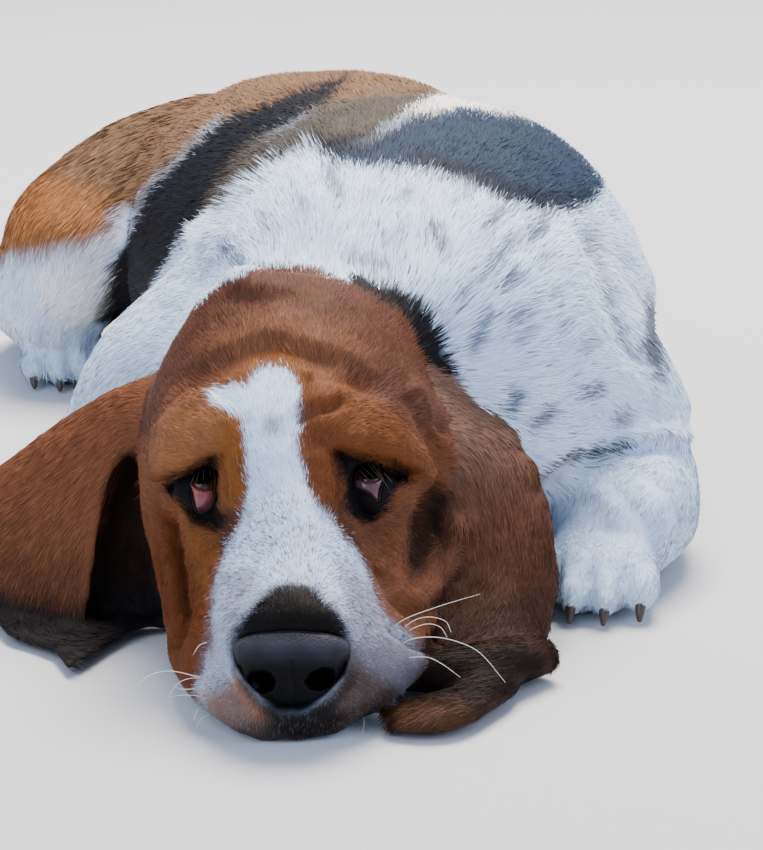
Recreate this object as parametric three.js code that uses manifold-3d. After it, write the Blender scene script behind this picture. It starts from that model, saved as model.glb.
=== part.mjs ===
// A life-size basset hound lying on its chest, chin on the ground, hind legs folded
// at its sides. Millimetres, +Z up, the muzzle points along -Y, the dog's left is +X.
// The body is modelled whole from rounded tubes and parted where its named parts meet.
import * as THREE from "three";
import { mergeVertices } from "three/addons/utils/BufferGeometryUtils.js";
import Module from "manifold-3d";

const wasm = await Module();
wasm.setup();

// Driving sizes
const GAP = 0.35; // space kept between touching parts
const FLOOR_REACH = 2000; // half side of the block that trims what is under the ground
const EYE_RADIUS = 12.5;
const EYE_RIGHT = [-44, 104, 87];
const EYE_LEFT = [34, 104, 89];
const NECK_END_Y = 285; // where the neck is parted from the chest
const CHEST_END_Y = 395; // where the chest is parted from the loin
const LOIN_END_Y = 600; // where the loin is parted from the rump
const FACE_END_Y = 84; // where the muzzle is parted from the skull
const UP = new THREE.Vector3(0, 0, 1);

// Each row of a body path is [x, y, z, half width, height above, depth below, pear]:
// pear widens the lower half of the ring and narrows the upper half.
const HEAD = [
  [0, 8, 38, 33, 26, 40, 0.12],
  [0, 30, 40, 41, 37, 44, 0.3],
  [0, 56, 44, 45, 50, 46, 0.46],
  [-2, 82, 52, 50, 58, 54, 0.46],
  [-4, 106, 62, 62, 68, 64, 0.16],
  [-4, 132, 72, 73, 79, 74, 0.04],
  [-3, 162, 80, 75, 89, 82, 0],
  [-1, 192, 86, 71, 92, 88, 0],
  [2, 220, 88, 60, 80, 88, 0],
];
const NECK = [
  [0, 182, 90, 60, 66, 92, 0],
  [8, 215, 96, 78, 74, 98, 0],
  [24, 255, 98, 98, 90, 100, 0],
  [42, 300, 98, 112, 104, 100, 0],
];
const TORSO = [
  [40, 205, 80, 66, 66, 84, 0.1],
  [44, 235, 92, 98, 94, 96, 0.08],
  [48, 280, 98, 114, 106, 104, 0.06],
  [54, 335, 100, 124, 108, 108, 0.05],
  [60, 395, 100, 131, 110, 108, 0.05],
  [58, 455, 100, 131, 112, 108, 0.06],
  [45, 515, 98, 136, 109, 106, 0.08],
  [24, 575, 95, 135, 104, 104, 0.08],
  [12, 630, 94, 130, 102, 102, 0.04],
  [-2, 685, 90, 118, 98, 98, 0],
  [-16, 735, 82, 98, 84, 90, 0],
  [-26, 775, 72, 66, 60, 76, 0],
];
const TAIL = [
  [-24, 770, 96, 24, 22, 22, 0],
  [-36, 812, 70, 20, 19, 19, 0],
  [-62, 846, 36, 17, 16, 16, 0],
  [-112, 858, 15, 14, 14, 16, 0],
  [-166, 842, 12, 11, 11, 13, 0],
  [-208, 806, 9, 7, 7, 10, 0],
];
const NOSE = [
  [0, 20, 47, 17, 12, 17, 0],
  [0, 8, 44, 26, 16, 22, 0],
  [0, -4, 42, 25, 15, 20, -0.1],
];
const JAW = [
  [0, 9, 4, 25, 7, 6, 0],
  [0, 34, 8, 27, 12, 10, 0],
  [-1, 100, 20, 36, 18, 22, 0],
];
const PHILTRUM = [
  [0, -8, 30, 1.4, 2, 2, 0],
  [0, -9, 12, 1.2, 2, 2, 0],
];
// Each nostril opens forwards and carries on sideways as a slit; the left one, x away from the middle.
const NOSTRIL = [
  [10, -18, 36, 4.5, 4, 4, 0],
  [11, -4, 39, 4, 3.5, 4, 0],
  [13, 4, 41, 2.5, 2, 2, 0],
];
const NOSTRIL_SLIT = [
  [13, -14, 36, 2.2, 2, 2.4, 0],
  [20, -5, 35, 1.6, 2, 2, 0],
  [27, 1, 37, 1, 1.5, 1.5, 0],
];
// Each eye lies in a socket under two lids, shells that reach from the socket's wall to the
// lid's edge. Angles at the eye's middle, in radians: across to the corners, up and down to the edges.
const SOCKET_RADIUS = 15;
const SOCKET_AHEAD = 11; // from the eye's middle to the socket's, along the gaze
const LID_THICKNESS = 3;
const LID_HALF_ARC = 1.35;
const UPPER_LID_LIFT = 0.3;
const LOWER_LID_DROP = 0.6;
const LID_ROOT = 1.45;
const GAZE_RIGHT = [-0.3, -0.93, 0.2];
const GAZE_LEFT = [0.26, -0.94, 0.2];
// Hollows under the roots of the ears, where each ear's cup opens.
const EAR_CUP_RADIUS = 15;
const EAR_CUP_RIGHT = [-82, 158, 88];
const EAR_CUP_LEFT = [80, 158, 88];

// Each ear is a sheet through ribs of points. The right ear is thrown out sideways over the
// foreleg: its ribs follow one another from the head to the hem, each from the back edge to the front.
const EAR_RIGHT = [
  [[-50, 208, 118], [-56, 190, 126], [-60, 176, 122], [-60, 164, 112], [-58, 154, 100]],
  [[-88, 216, 106], [-92, 204, 110], [-92, 188, 108], [-88, 174, 98], [-86, 164, 84]],
  [[-128, 226, 82], [-124, 212, 88], [-116, 190, 82], [-104, 170, 72], [-94, 154, 58]],
  [[-182, 238, 42], [-168, 218, 50], [-146, 192, 50], [-122, 166, 44], [-98, 142, 34]],
  [[-238, 226, 9], [-212, 208, 11], [-178, 186, 12], [-140, 160, 12], [-103, 134, 11]],
];
// Its lower end, folded forwards under the hem and flat on the ground, with the ear's tip.
const EAR_FLAP_RIGHT = [
  [[-164, 178, 8], [-152, 150, 6], [-146, 134, 5]],
  [[-128, 172, 9], [-126, 140, 6], [-122, 114, 5]],
  [[-106, 160, 9], [-106, 120, 7], [-108, 84, 5]],
  [[-88, 172, 8], [-84, 154, 7], [-84, 132, 5]],
  [[-74, 165, 6], [-73, 156, 6], [-71, 145, 5]],
];
// The left ear hangs: its ribs follow one another from the front edge to the back, each from
// root to hem.
const EAR_LEFT = [
  [[52, 140, 104], [66, 136, 80], [64, 124, 52], [58, 112, 32], [62, 84, 14]],
  [[58, 152, 116], [84, 146, 90], [84, 132, 60], [80, 112, 36], [78, 74, 14]],
  [[62, 170, 126], [98, 164, 94], [108, 150, 64], [104, 118, 36], [96, 70, 13]],
  [[60, 190, 130], [104, 184, 94], [120, 172, 62], [121, 142, 32], [112, 84, 11]],
  [[54, 206, 120], [98, 196, 90], [122, 182, 60], [129, 152, 28], [121, 114, 8]],
];
const EAR_THICKNESS = 7;
// Its lower end is rolled under, and the tip comes out again in front of the roll.
const EAR_ROLL_LEFT = [
  [118, 90, 12, 13, 12, 12, 0],
  [96, 70, 12, 15, 14, 12, 0],
  [66, 63, 12, 13, 13, 12, 0],
];
const EAR_TIP_LEFT = [
  [98, 60, 9, 12, 9, 9, 0],
  [84, 38, 9, 15, 8, 9, 0],
  [66, 19, 8, 20, 8, 8, 0],
  [47, 10, 6, 13, 6, 6, 0],
];

// Limbs: the left ones as they lie, the right ones with their own rows where they differ.
const UPPER_ARM_LEFT = [
  [76, 352, 142, 70, 68, 66, 0],
  [112, 322, 116, 66, 64, 66, 0],
  [150, 304, 88, 52, 48, 56, 0],
  [184, 303, 60, 34, 32, 40, 0],
];
const UPPER_ARM_RIGHT = [
  [28, 348, 142, 68, 68, 66, 0],
  [-14, 320, 115, 64, 62, 66, 0],
  [-58, 302, 88, 50, 46, 56, 0],
  [-98, 301, 60, 34, 32, 40, 0],
];
const FOREARM_LEFT = [
  [186, 306, 42, 29, 27, 42, 0],
  [181, 272, 42, 34, 29, 42, 0],
  [169, 242, 38, 34, 28, 38, 0],
  [157, 220, 30, 33, 25, 30, 0],
];
const FOREARM_RIGHT = [
  [-106, 318, 44, 32, 30, 44, 0],
  [-112, 290, 42, 34, 29, 42, 0],
  [-118, 262, 38, 33, 28, 38, 0],
  [-122, 240, 30, 33, 25, 30, 0],
];
const FOREPAW_LENGTH = 42;
const FOREPAW_HALF_WIDTH = 34;
const FOREPAW_HEIGHT = 40;
const FOREPAW_LEFT_AT = [151, 212];
const FOREPAW_LEFT_TURN = -0.18; // turn about +Z of the toes, from -Y towards -X
const FOREPAW_RIGHT_AT = [-124, 230];
const FOREPAW_RIGHT_TURN = 0.06;

const THIGH_RIGHT = [
  [-58, 715, 104, 62, 70, 80, 0],
  [-104, 694, 99, 64, 62, 70, 0],
  [-140, 660, 89, 58, 48, 56, 0],
  [-154, 628, 80, 46, 38, 42, 0],
];
const THIGH_LEFT = [
  [48, 712, 104, 62, 66, 80, 0],
  [94, 682, 96, 60, 58, 70, 0],
  [138, 646, 84, 52, 46, 56, 0],
  [166, 618, 74, 44, 38, 44, 0],
];
const SHANK_RIGHT = [
  [-160, 640, 66, 40, 40, 44, 0],
  [-184, 690, 50, 32, 34, 36, 0],
  [-186, 740, 34, 23, 26, 34, 0],
];
const SHANK_LEFT = [
  [170, 628, 62, 40, 38, 44, 0],
  [184, 676, 48, 32, 34, 36, 0],
  [184, 728, 34, 23, 26, 34, 0],
];
const REAR_PASTERN_RIGHT = [
  [-186, 752, 22, 18, 20, 24, 0],
  [-178, 712, 17, 20, 17, 20, 0],
  [-168, 676, 16, 24, 16, 18, 0],
];
const REAR_PASTERN_LEFT = [
  [184, 740, 22, 18, 20, 24, 0],
  [178, 700, 17, 20, 17, 20, 0],
  [170, 664, 16, 24, 16, 18, 0],
];
const HINDPAW_LENGTH = 40;
const HINDPAW_HALF_WIDTH = 30;
const HINDPAW_HEIGHT = 34;
const HINDPAW_RIGHT_AT = [-162, 662];
const HINDPAW_RIGHT_TURN = 0.2;
const HINDPAW_LEFT_AT = [168, 652];
const HINDPAW_LEFT_TURN = -0.1;

// Places where flesh is pushed: [x, y, z, reach x, reach y, reach z, push x, push y, push z].
const FACE_FORMS = [
  [-40, 88, 88, 14, 18, 15, 3, 10, -3], // right eye hollow
  [34, 88, 89, 14, 18, 15, -3, 10, -3], // left eye hollow
  [-50, 106, 120, 20, 22, 10, -4, -12, 2], // right brow
  [46, 106, 120, 20, 22, 10, 4, -12, 2], // left brow
  [-56, 94, 40, 14, 30, 26, -6, -4, 0], // right cheek
  [54, 94, 44, 14, 30, 24, 6, -4, 0], // left cheek
  [60, 90, 18, 14, 24, 16, 10, -4, 0], // fold of the left cheek, spread on the ground
  [-38, 40, 14, 16, 26, 16, -4, -3, 0], // right flew
  [46, 46, 16, 18, 26, 16, 12, -3, 0], // left flew, fallen outwards
];

// Places where the trunk swells or sinks, in the same form.
const TRUNK_FORMS = [
  [12, 335, 205, 40, 46, 20, 0, 0, 5], // withers
  [70, 560, 205, 60, 40, 30, 0, 0, -4], // dip of the loin
  [40, 655, 190, 26, 34, 20, 0, 0, 2], // left hip bone
  [-44, 668, 186, 26, 34, 20, 0, 0, 2], // right hip bone
  [172, 470, 60, 22, 60, 46, 4, 0, 0], // left ribs
  [-56, 470, 60, 22, 60, 46, -4, 0, 0], // right ribs
];

// Scalar Catmull-Rom through evenly counted values, the ends carried on straight.
function smooth(values, t) {
  const last = values.length - 1;
  const i = Math.min(Math.floor(t), last - 1);
  const f = t - i;
  const at = (k) =>
    k < 0 ? 2 * values[0] - values[1] : k > last ? 2 * values[last] - values[last - 1] : values[k];
  const [a, b, c, d] = [at(i - 1), at(i), at(i + 1), at(i + 2)];
  return b + 0.5 * f * (c - a + f * (2 * a - 5 * b + 4 * c - d + f * (3 * (b - c) + d - a)));
}

// The point of a rounded ring at an angle: half width w, height h above, depth b below.
function ringPoint(angle, w, h, b, pear, power) {
  const c = Math.cos(angle);
  const s = Math.sin(angle);
  const x = Math.sign(c) * Math.abs(c) ** (2 / power) * w * (1 - pear * s);
  const y = Math.sign(s) * Math.abs(s) ** (2 / power) * (s > 0 ? h : b);
  return [x, y];
}

// Pushes a point by every form that reaches it, fading as a bell curve.
function pushed(point, forms) {
  const start = point.clone();
  for (const [x, y, z, rx, ry, rz, px, py, pz] of forms) {
    const d = ((start.x - x) / rx) ** 2 + ((start.y - y) / ry) ** 2 + ((start.z - z) / rz) ** 2;
    const w = Math.exp(-d / 2);
    point.add(new THREE.Vector3(px * w, py * w, pz * w));
  }
  return point;
}

// A closed tube of rings carried along the rows of a path, its ends rounded by caps.
function tube(rows, { around = 24, steps = 16, capStart = 10, capEnd = 10, capRings = 2, power = 2.2,
  up = UP, forms = [], grow = 0 } = {}) {
  const column = rows[0].map((_, k) => rows.map((row) => row[k]));
  const last = rows.length - 1;
  const centre = (t) => new THREE.Vector3(...[0, 1, 2].map((k) => smooth(column[k], t)));
  const rings = [];
  for (let k = capRings; k > 0; k--) rings.push([0, (k / capRings) * (Math.PI / 2), -capStart]);
  for (let i = 0; i <= steps; i++) rings.push([(i / steps) * last, 0, 0]);
  for (let k = 1; k <= capRings; k++) rings.push([last, (k / capRings) * (Math.PI / 2), capEnd]);
  const points = [];
  for (const [t, fade, cap] of rings) {
    const step = 1e-3;
    const ahead = centre(Math.min(t + step, last));
    const tangent = ahead.sub(centre(Math.max(t - step, 0))).normalize();
    const side = new THREE.Vector3().crossVectors(tangent, up).normalize();
    const top = new THREE.Vector3().crossVectors(side, tangent);
    const middle = centre(t).addScaledVector(tangent, Math.sin(fade) * (cap + Math.sign(cap) * grow));
    const [w, h, b, pear] = [3, 4, 5, 6].map((k) => smooth(column[k], t));
    const scale = Math.cos(fade);
    const count = scale < 1e-6 ? 1 : around;
    for (let j = 0; j < count; j++) {
      const [x, y] = ringPoint((j / around) * 2 * Math.PI, w + grow, h + grow, b + grow, pear, power);
      const p = middle.clone().addScaledVector(side, x * scale).addScaledVector(top, y * scale);
      points.push(pushed(p, forms));
    }
  }
  const index = [];
  const first = (ring) => (ring === 0 ? 0 : 1 + (ring - 1) * around);
  const lastRing = rings.length - 1;
  for (let j = 0; j < around; j++) {
    const n = (j + 1) % around;
    index.push(0, first(1) + j, first(1) + n);
    for (let r = 1; r < lastRing - 1; r++) {
      const [a, b, c, d] = [first(r) + j, first(r) + n, first(r + 1) + j, first(r + 1) + n];
      index.push(a, c, b, b, c, d);
    }
    index.push(first(lastRing - 1) + j, first(lastRing), first(lastRing - 1) + n);
  }
  const geometry = new THREE.BufferGeometry();
  geometry.setAttribute("position", new THREE.Float32BufferAttribute(points.flatMap((p) => p.toArray()), 3));
  geometry.setIndex(index);
  return geometry;
}

// A point on the smooth sheet through ribs of points: u counts ribs, v counts along a rib.
function sheetPoint(ribs, u, v) {
  const along = ribs.map((rib) => [0, 1, 2].map((k) => smooth(rib.map((p) => p[k]), v)));
  return new THREE.Vector3(...[0, 1, 2].map((k) => smooth(along.map((p) => p[k]), u)));
}

// A closed sheet of some thickness, its rims thinner than its middle.
function sheet(ribs, { across, along, thickness = EAR_THICKNESS, grow = 0 }) {
  const lastU = ribs.length - 1;
  const lastV = ribs[0].length - 1;
  const step = 0.02;
  const faces = [[], []];
  for (let i = 0; i <= across; i++) {
    for (let j = 0; j <= along; j++) {
      const [u, v] = [(i / across) * lastU, (j / along) * lastV];
      const du = sheetPoint(ribs, Math.min(u + step, lastU), v).sub(sheetPoint(ribs, Math.max(u - step, 0), v));
      const dv = sheetPoint(ribs, u, Math.min(v + step, lastV)).sub(sheetPoint(ribs, u, Math.max(v - step, 0)));
      const normal = du.cross(dv).normalize();
      const rim = Math.min(i, across - i, j, along - j) === 0 ? 0.55 : 1;
      const half = (thickness / 2) * rim + grow;
      const p = sheetPoint(ribs, u, v);
      faces[0].push(p.clone().addScaledVector(normal, half));
      faces[1].push(p.clone().addScaledVector(normal, -half));
    }
  }
  const stride = along + 1;
  const below = (across + 1) * stride;
  const index = [];
  const quad = (a, b, c, d) => index.push(a, b, c, a, c, d);
  for (let i = 0; i < across; i++) {
    for (let j = 0; j < along; j++) {
      const a = i * stride + j;
      const [b, c, d] = [a + stride, a + stride + 1, a + 1];
      quad(a, b, c, d);
      index.push(below + a, below + c, below + b, below + a, below + d, below + c);
    }
  }
  for (let i = 0; i < across; i++) {
    const [a, b] = [i * stride, (i + 1) * stride];
    quad(b, a, below + a, below + b);
    quad(a + along, b + along, below + b + along, below + a + along);
  }
  for (let j = 0; j < along; j++) {
    const far = across * stride;
    quad(j, j + 1, below + j + 1, below + j);
    quad(far + j + 1, far + j, below + far + j, below + far + j + 1);
  }
  const points = [...faces[0], ...faces[1]];
  const geometry = new THREE.BufferGeometry();
  geometry.setAttribute("position", new THREE.Float32BufferAttribute(points.flatMap((p) => p.toArray()), 3));
  geometry.setIndex(index);
  return geometry;
}

// A closed three.js geometry as a solid that can be joined and cut.
function solidOf(geometry) {
  const plain = geometry.clone();
  plain.deleteAttribute("normal");
  plain.deleteAttribute("uv");
  const merged = mergeVertices(plain, 1e-4);
  const vertProperties = new Float32Array(merged.attributes.position.array);
  const triVerts = new Uint32Array(merged.index.array);
  return new wasm.Manifold(new wasm.Mesh({ numProp: 3, vertProperties, triVerts }));
}

function geometryOf(solid) {
  const { vertProperties, triVerts } = solid.getMesh();
  const geometry = new THREE.BufferGeometry();
  geometry.setAttribute("position", new THREE.BufferAttribute(vertProperties, 3));
  geometry.setIndex(new THREE.BufferAttribute(triVerts, 1));
  return geometry;
}

const join = (solids) => solids.reduce((a, b) => a.add(b));

// Only the largest of the closed surfaces that cutting may leave.
function largest(solid) {
  return solid.decompose().reduce((a, b) => (a.volume() > b.volume() ? a : b));
}

function block(low, high) {
  const size = high.map((v, k) => v - low[k]);
  const geometry = new THREE.BoxGeometry(...size);
  return solidOf(geometry.translate(...low.map((v, k) => v + size[k] / 2)));
}

function ball(at, radius, detail = 12) {
  return solidOf(new THREE.SphereGeometry(radius, detail, Math.round(detail * 0.6)).translate(...at));
}

const underGround = block([-FLOOR_REACH, -FLOOR_REACH, -500], [FLOOR_REACH, FLOOR_REACH, 0]);

// The dog's parts, claimed in order: each new part is cut clear of those claimed before it.
const dog = new THREE.Group();
let claimed = null;

const COLOURS = {
  coat_white: [0.86, 0.84, 0.83, 0.85],
  coat_brown: [0.36, 0.17, 0.08, 0.8],
  coat_black: [0.07, 0.065, 0.06, 0.8],
  coat_tan: [0.6, 0.36, 0.2, 0.8],
  nose_leather: [0.04, 0.035, 0.035, 0.45],
  eye: [0.05, 0.03, 0.02, 0.1],
};

function material(slot) {
  const [r, g, b, roughness] = COLOURS[slot];
  return new THREE.MeshStandardMaterial({ color: new THREE.Color(r, g, b), roughness, metalness: 0 });
}

function claim(name, slot, solid, grown) {
  let body = solid.subtract(underGround);
  if (claimed) body = body.subtract(claimed);
  body = largest(body);
  claimed = claimed ? claimed.add(grown) : grown;
  const mesh = new THREE.Mesh(geometryOf(body), material(slot));
  mesh.name = name;
  dog.add(mesh);
}

function claimTube(name, slot, rows, options = {}) {
  claim(name, slot, solidOf(tube(rows, options)), solidOf(tube(rows, { ...options, grow: GAP })));
}

// Rows of a paw's body lying along -Y from its place, turned about +Z.
function pawRows([x, y], turn, length, halfWidth, height) {
  const row = (along, wide, tall) => {
    const px = x + Math.sin(turn) * along * length;
    const py = y - Math.cos(turn) * along * length;
    return [px, py, height * 0.45, halfWidth * wide, height * 0.55 * tall, height * 0.5, 0];
  };
  return [row(-0.35, 0.8, 0.95), row(0.05, 0.96, 1), row(0.45, 0.94, 0.86), row(0.7, 0.8, 0.72)];
}

// Four toes with claws, the middle pair reaching furthest.
function toeTubes([x, y], turn, length, halfWidth, height, grow) {
  const pieces = [];
  for (const place of [-1.5, -0.5, 0.5, 1.5]) {
    const across = place * halfWidth * 0.5;
    const reach = length * (Math.abs(place) > 1 ? 0.86 : 1.08);
    const toe = (along, wide, tall, z) => {
      const px = x + Math.sin(turn) * along + Math.cos(turn) * across;
      const py = y - Math.cos(turn) * along + Math.sin(turn) * across;
      return [px, py, z, wide, tall, tall, 0];
    };
    const wide = halfWidth * 0.27;
    pieces.push(tube([
      toe(reach * 0.45, wide, height * 0.3, height * 0.44),
      toe(reach * 0.75, wide * 1.08, height * 0.34, height * 0.4),
      toe(reach, wide * 0.92, height * 0.28, height * 0.3),
    ], { around: 7, steps: 2, capStart: 6, capEnd: 7, grow }));
    pieces.push(tube([
      toe(reach + 1, 2.8, 3.2, height * 0.3),
      toe(reach + 8, 2.3, 2.6, height * 0.24),
      toe(reach + 12, 1.2, 1.3, height * 0.13),
    ], { around: 4, steps: 1, capStart: 3, capEnd: 1.5, capRings: 1, grow }));
  }
  return pieces.map(solidOf);
}

function claimPaw(name, slot, at, turn, length, halfWidth, height, rear = []) {
  const whole = (grow) => join([
    solidOf(tube(pawRows(at, turn, length, halfWidth, height), { around: 12, steps: 4, grow })),
    ...toeTubes(at, turn, length, halfWidth, height, grow),
    ...rear.map((rows) => solidOf(tube(rows, { around: 10, steps: 4, grow }))),
  ]);
  claim(name, slot, whole(0), whole(GAP));
}

// Head
claim("eye_right", "eye", ball(EYE_RIGHT, EYE_RADIUS), ball(EYE_RIGHT, EYE_RADIUS + GAP));
claim("eye_left", "eye", ball(EYE_LEFT, EYE_RADIUS), ball(EYE_LEFT, EYE_RADIUS + GAP));

const mirrored = (rows) => rows.map(([x, ...rest]) => [-x, ...rest]);
const small = { around: 6, steps: 2, capStart: 2, capEnd: 2, capRings: 1 };
const nostrils = join([NOSTRIL, NOSTRIL_SLIT].flatMap((rows) => [rows, mirrored(rows)])
  .map((rows) => solidOf(tube(rows, small))));
const noseOptions = { around: 18, steps: 4, capStart: 3, capEnd: 7 };
const noseWhole = (grow) => solidOf(tube(NOSE, { ...noseOptions, grow }));
claim("nose", "nose_leather", noseWhole(0).subtract(nostrils), noseWhole(GAP));
claimTube("lower_jaw", "coat_white", JAW, { around: 12, steps: 3, capStart: 12, capEnd: 4 });

// The directions ahead of an eye, to its side and over it.
function eyeAxes(gaze) {
  const ahead = new THREE.Vector3(...gaze).normalize();
  const side = new THREE.Vector3().crossVectors(ahead, UP).normalize();
  return [ahead, side, new THREE.Vector3().crossVectors(side, ahead)];
}

// A lid as a shell round the eye: sign +1 for the upper lid, -1 for the lower. Its edge is
// an arc between the corners, furthest from them in the middle.
function lid(eye, gaze, sign, grow) {
  const [ahead, side, over] = eyeAxes(gaze);
  const middleTilt = sign > 0 ? UPPER_LID_LIFT : LOWER_LID_DROP;
  const radius = EYE_RADIUS + LID_THICKNESS / 2;
  const ribs = [-1, -0.5, 0, 0.5, 1].map((place) => [0, 0.5, 1].map((depth) => {
    const angle = place * LID_HALF_ARC * sign;
    const tilt = sign * (middleTilt * (1 - place * place) * (1 - depth) + LID_ROOT * depth);
    return new THREE.Vector3(...eye)
      .addScaledVector(ahead, radius * Math.cos(angle) * Math.cos(tilt))
      .addScaledVector(over, radius * Math.cos(angle) * Math.sin(tilt))
      .addScaledVector(side, radius * Math.sin(angle)).toArray();
  }));
  return solidOf(sheet(ribs, { across: 6, along: 2, thickness: LID_THICKNESS, grow }));
}

function socket(eye, gaze, grow) {
  const [ahead] = eyeAxes(gaze);
  const middle = new THREE.Vector3(...eye).addScaledVector(ahead, SOCKET_AHEAD).toArray();
  return ball(middle, SOCKET_RADIUS - grow);
}

const headOptions = { around: 34, steps: 20, capStart: 14, capEnd: 22, capRings: 3, forms: FACE_FORMS };
const sockets = (grow) => socket(EYE_RIGHT, GAZE_RIGHT, grow).add(socket(EYE_LEFT, GAZE_LEFT, grow));
const headWhole = (grow) => join([
  solidOf(tube(HEAD, { ...headOptions, grow })).subtract(sockets(grow)),
  ...[1, -1].flatMap((sign) => [lid(EYE_RIGHT, GAZE_RIGHT, sign, grow), lid(EYE_LEFT, GAZE_LEFT, sign, grow)]),
]);
const cups = ball(EAR_CUP_RIGHT, EAR_CUP_RADIUS).add(ball(EAR_CUP_LEFT, EAR_CUP_RADIUS));
const faceTo = (y) => block([-300, -300, -10], [300, y, 400]);
const philtrum = solidOf(tube(PHILTRUM, { ...small, up: new THREE.Vector3(0, 1, 0) }));
claim("muzzle", "coat_white", headWhole(0).intersect(faceTo(FACE_END_Y)).subtract(philtrum),
  headWhole(GAP).intersect(faceTo(FACE_END_Y + GAP)));
claim("head", "coat_brown", headWhole(0).subtract(cups), headWhole(GAP));

// Forelegs
const foot = [FOREPAW_LENGTH, FOREPAW_HALF_WIDTH, FOREPAW_HEIGHT];
claimPaw("forepaw_left", "coat_white", FOREPAW_LEFT_AT, FOREPAW_LEFT_TURN, ...foot);
claimPaw("forepaw_right", "coat_white", FOREPAW_RIGHT_AT, FOREPAW_RIGHT_TURN, ...foot);
const forearm = { around: 12, steps: 4, capStart: 20 };
const upperArm = { around: 14, steps: 5, capStart: 20, capEnd: 20 };
claimTube("forearm_left", "coat_white", FOREARM_LEFT, forearm);
claimTube("forearm_right", "coat_white", FOREARM_RIGHT, forearm);
claimTube("upper_arm_left", "coat_white", UPPER_ARM_LEFT, upperArm);
claimTube("upper_arm_right", "coat_white", UPPER_ARM_RIGHT, upperArm);

// Hind legs
const hind = [HINDPAW_LENGTH, HINDPAW_HALF_WIDTH, HINDPAW_HEIGHT];
claimPaw("hindpaw_right", "coat_white", HINDPAW_RIGHT_AT, HINDPAW_RIGHT_TURN, ...hind, [REAR_PASTERN_RIGHT]);
claimPaw("hindpaw_left", "coat_white", HINDPAW_LEFT_AT, HINDPAW_LEFT_TURN, ...hind, [REAR_PASTERN_LEFT]);
const shank = { around: 12, steps: 4, capStart: 26, capEnd: 14 };
const thigh = { around: 16, steps: 6, capStart: 30, capEnd: 30, capRings: 3 };
claimTube("shank_right", "coat_white", SHANK_RIGHT, shank);
claimTube("shank_left", "coat_white", SHANK_LEFT, shank);
claimTube("thigh_right", "coat_tan", THIGH_RIGHT, thigh);
claimTube("thigh_left", "coat_black", THIGH_LEFT, thigh);

// Trunk
const trunkOptions = {
  around: 24, steps: 16, capStart: 26, capEnd: 34, capRings: 3, power: 2.3, forms: TRUNK_FORMS,
};
const trunk = (grow) => solidOf(tube(TORSO, { ...trunkOptions, grow }));
const neck = (grow) => solidOf(tube(NECK, { around: 22, steps: 4, capStart: 10, capEnd: 4, grow }));
const upTo = (y, solid) => solid.intersect(block([-400, -100, -10], [400, y, 400]));
claim("neck", "coat_white", upTo(NECK_END_Y, trunk(0).add(neck(0))),
  upTo(NECK_END_Y + GAP, trunk(GAP).add(neck(GAP))));
claim("chest", "coat_white", upTo(CHEST_END_Y, trunk(0)), upTo(CHEST_END_Y + GAP, trunk(GAP)));
claim("loin", "coat_black", upTo(LOIN_END_Y, trunk(0)), upTo(LOIN_END_Y + GAP, trunk(GAP)));
claim("rump", "coat_black", trunk(0), trunk(GAP));
claimTube("tail", "coat_white", TAIL, { around: 10, steps: 12, capStart: 20, capEnd: 8 });

// Ears, cut clear of all that they lie on
function claimEar(name, sheets, tubes) {
  const whole = (grow) => join([
    ...sheets.map(([ribs, across, along]) => solidOf(sheet(ribs, { across, along, grow }))),
    ...tubes.map((rows) => solidOf(tube(rows, { around: 9, steps: 4, capStart: 6, capEnd: 6, grow }))),
  ]);
  claim(name, "coat_brown", whole(0), whole(GAP));
}
claimEar("ear_right", [[EAR_RIGHT, 9, 8], [EAR_FLAP_RIGHT, 6, 4]], []);
claimEar("ear_left", [[EAR_LEFT, 9, 8]], [EAR_ROLL_LEFT, EAR_TIP_LEFT]);

// The origin is at the middle of the outline on the ground.
const box = new THREE.Box3().setFromObject(dog);
const middle = box.getCenter(new THREE.Vector3());
dog.position.set(-middle.x, -middle.y, 0);

export default dog;
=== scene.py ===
"""A life-size basset hound lying with its chin on the ground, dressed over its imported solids.

Sizes are millimetres in the frame of the part's source: +Z up, the muzzle along -Y, the dog's
left along +X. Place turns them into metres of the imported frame.
"""
import logging
import math
from dataclasses import dataclass
from enum import Enum
from itertools import product
from typing import Sequence

import bmesh
import bpy
import numpy as np
from mathutils import Matrix, Vector


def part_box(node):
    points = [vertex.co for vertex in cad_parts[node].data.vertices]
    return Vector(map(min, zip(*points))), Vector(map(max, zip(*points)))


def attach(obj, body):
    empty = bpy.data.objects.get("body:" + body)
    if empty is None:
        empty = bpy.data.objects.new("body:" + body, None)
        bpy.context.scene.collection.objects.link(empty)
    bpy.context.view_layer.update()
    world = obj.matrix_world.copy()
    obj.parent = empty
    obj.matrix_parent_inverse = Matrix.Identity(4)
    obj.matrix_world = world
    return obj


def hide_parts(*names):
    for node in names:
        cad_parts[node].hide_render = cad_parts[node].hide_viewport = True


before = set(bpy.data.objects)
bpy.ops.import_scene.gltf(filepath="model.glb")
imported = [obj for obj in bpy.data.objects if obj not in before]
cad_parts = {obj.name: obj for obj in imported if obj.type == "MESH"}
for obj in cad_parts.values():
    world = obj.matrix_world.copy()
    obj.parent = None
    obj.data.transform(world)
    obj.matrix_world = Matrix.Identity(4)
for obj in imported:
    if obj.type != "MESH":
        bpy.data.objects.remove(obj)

log = logging.getLogger("basset")

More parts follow.
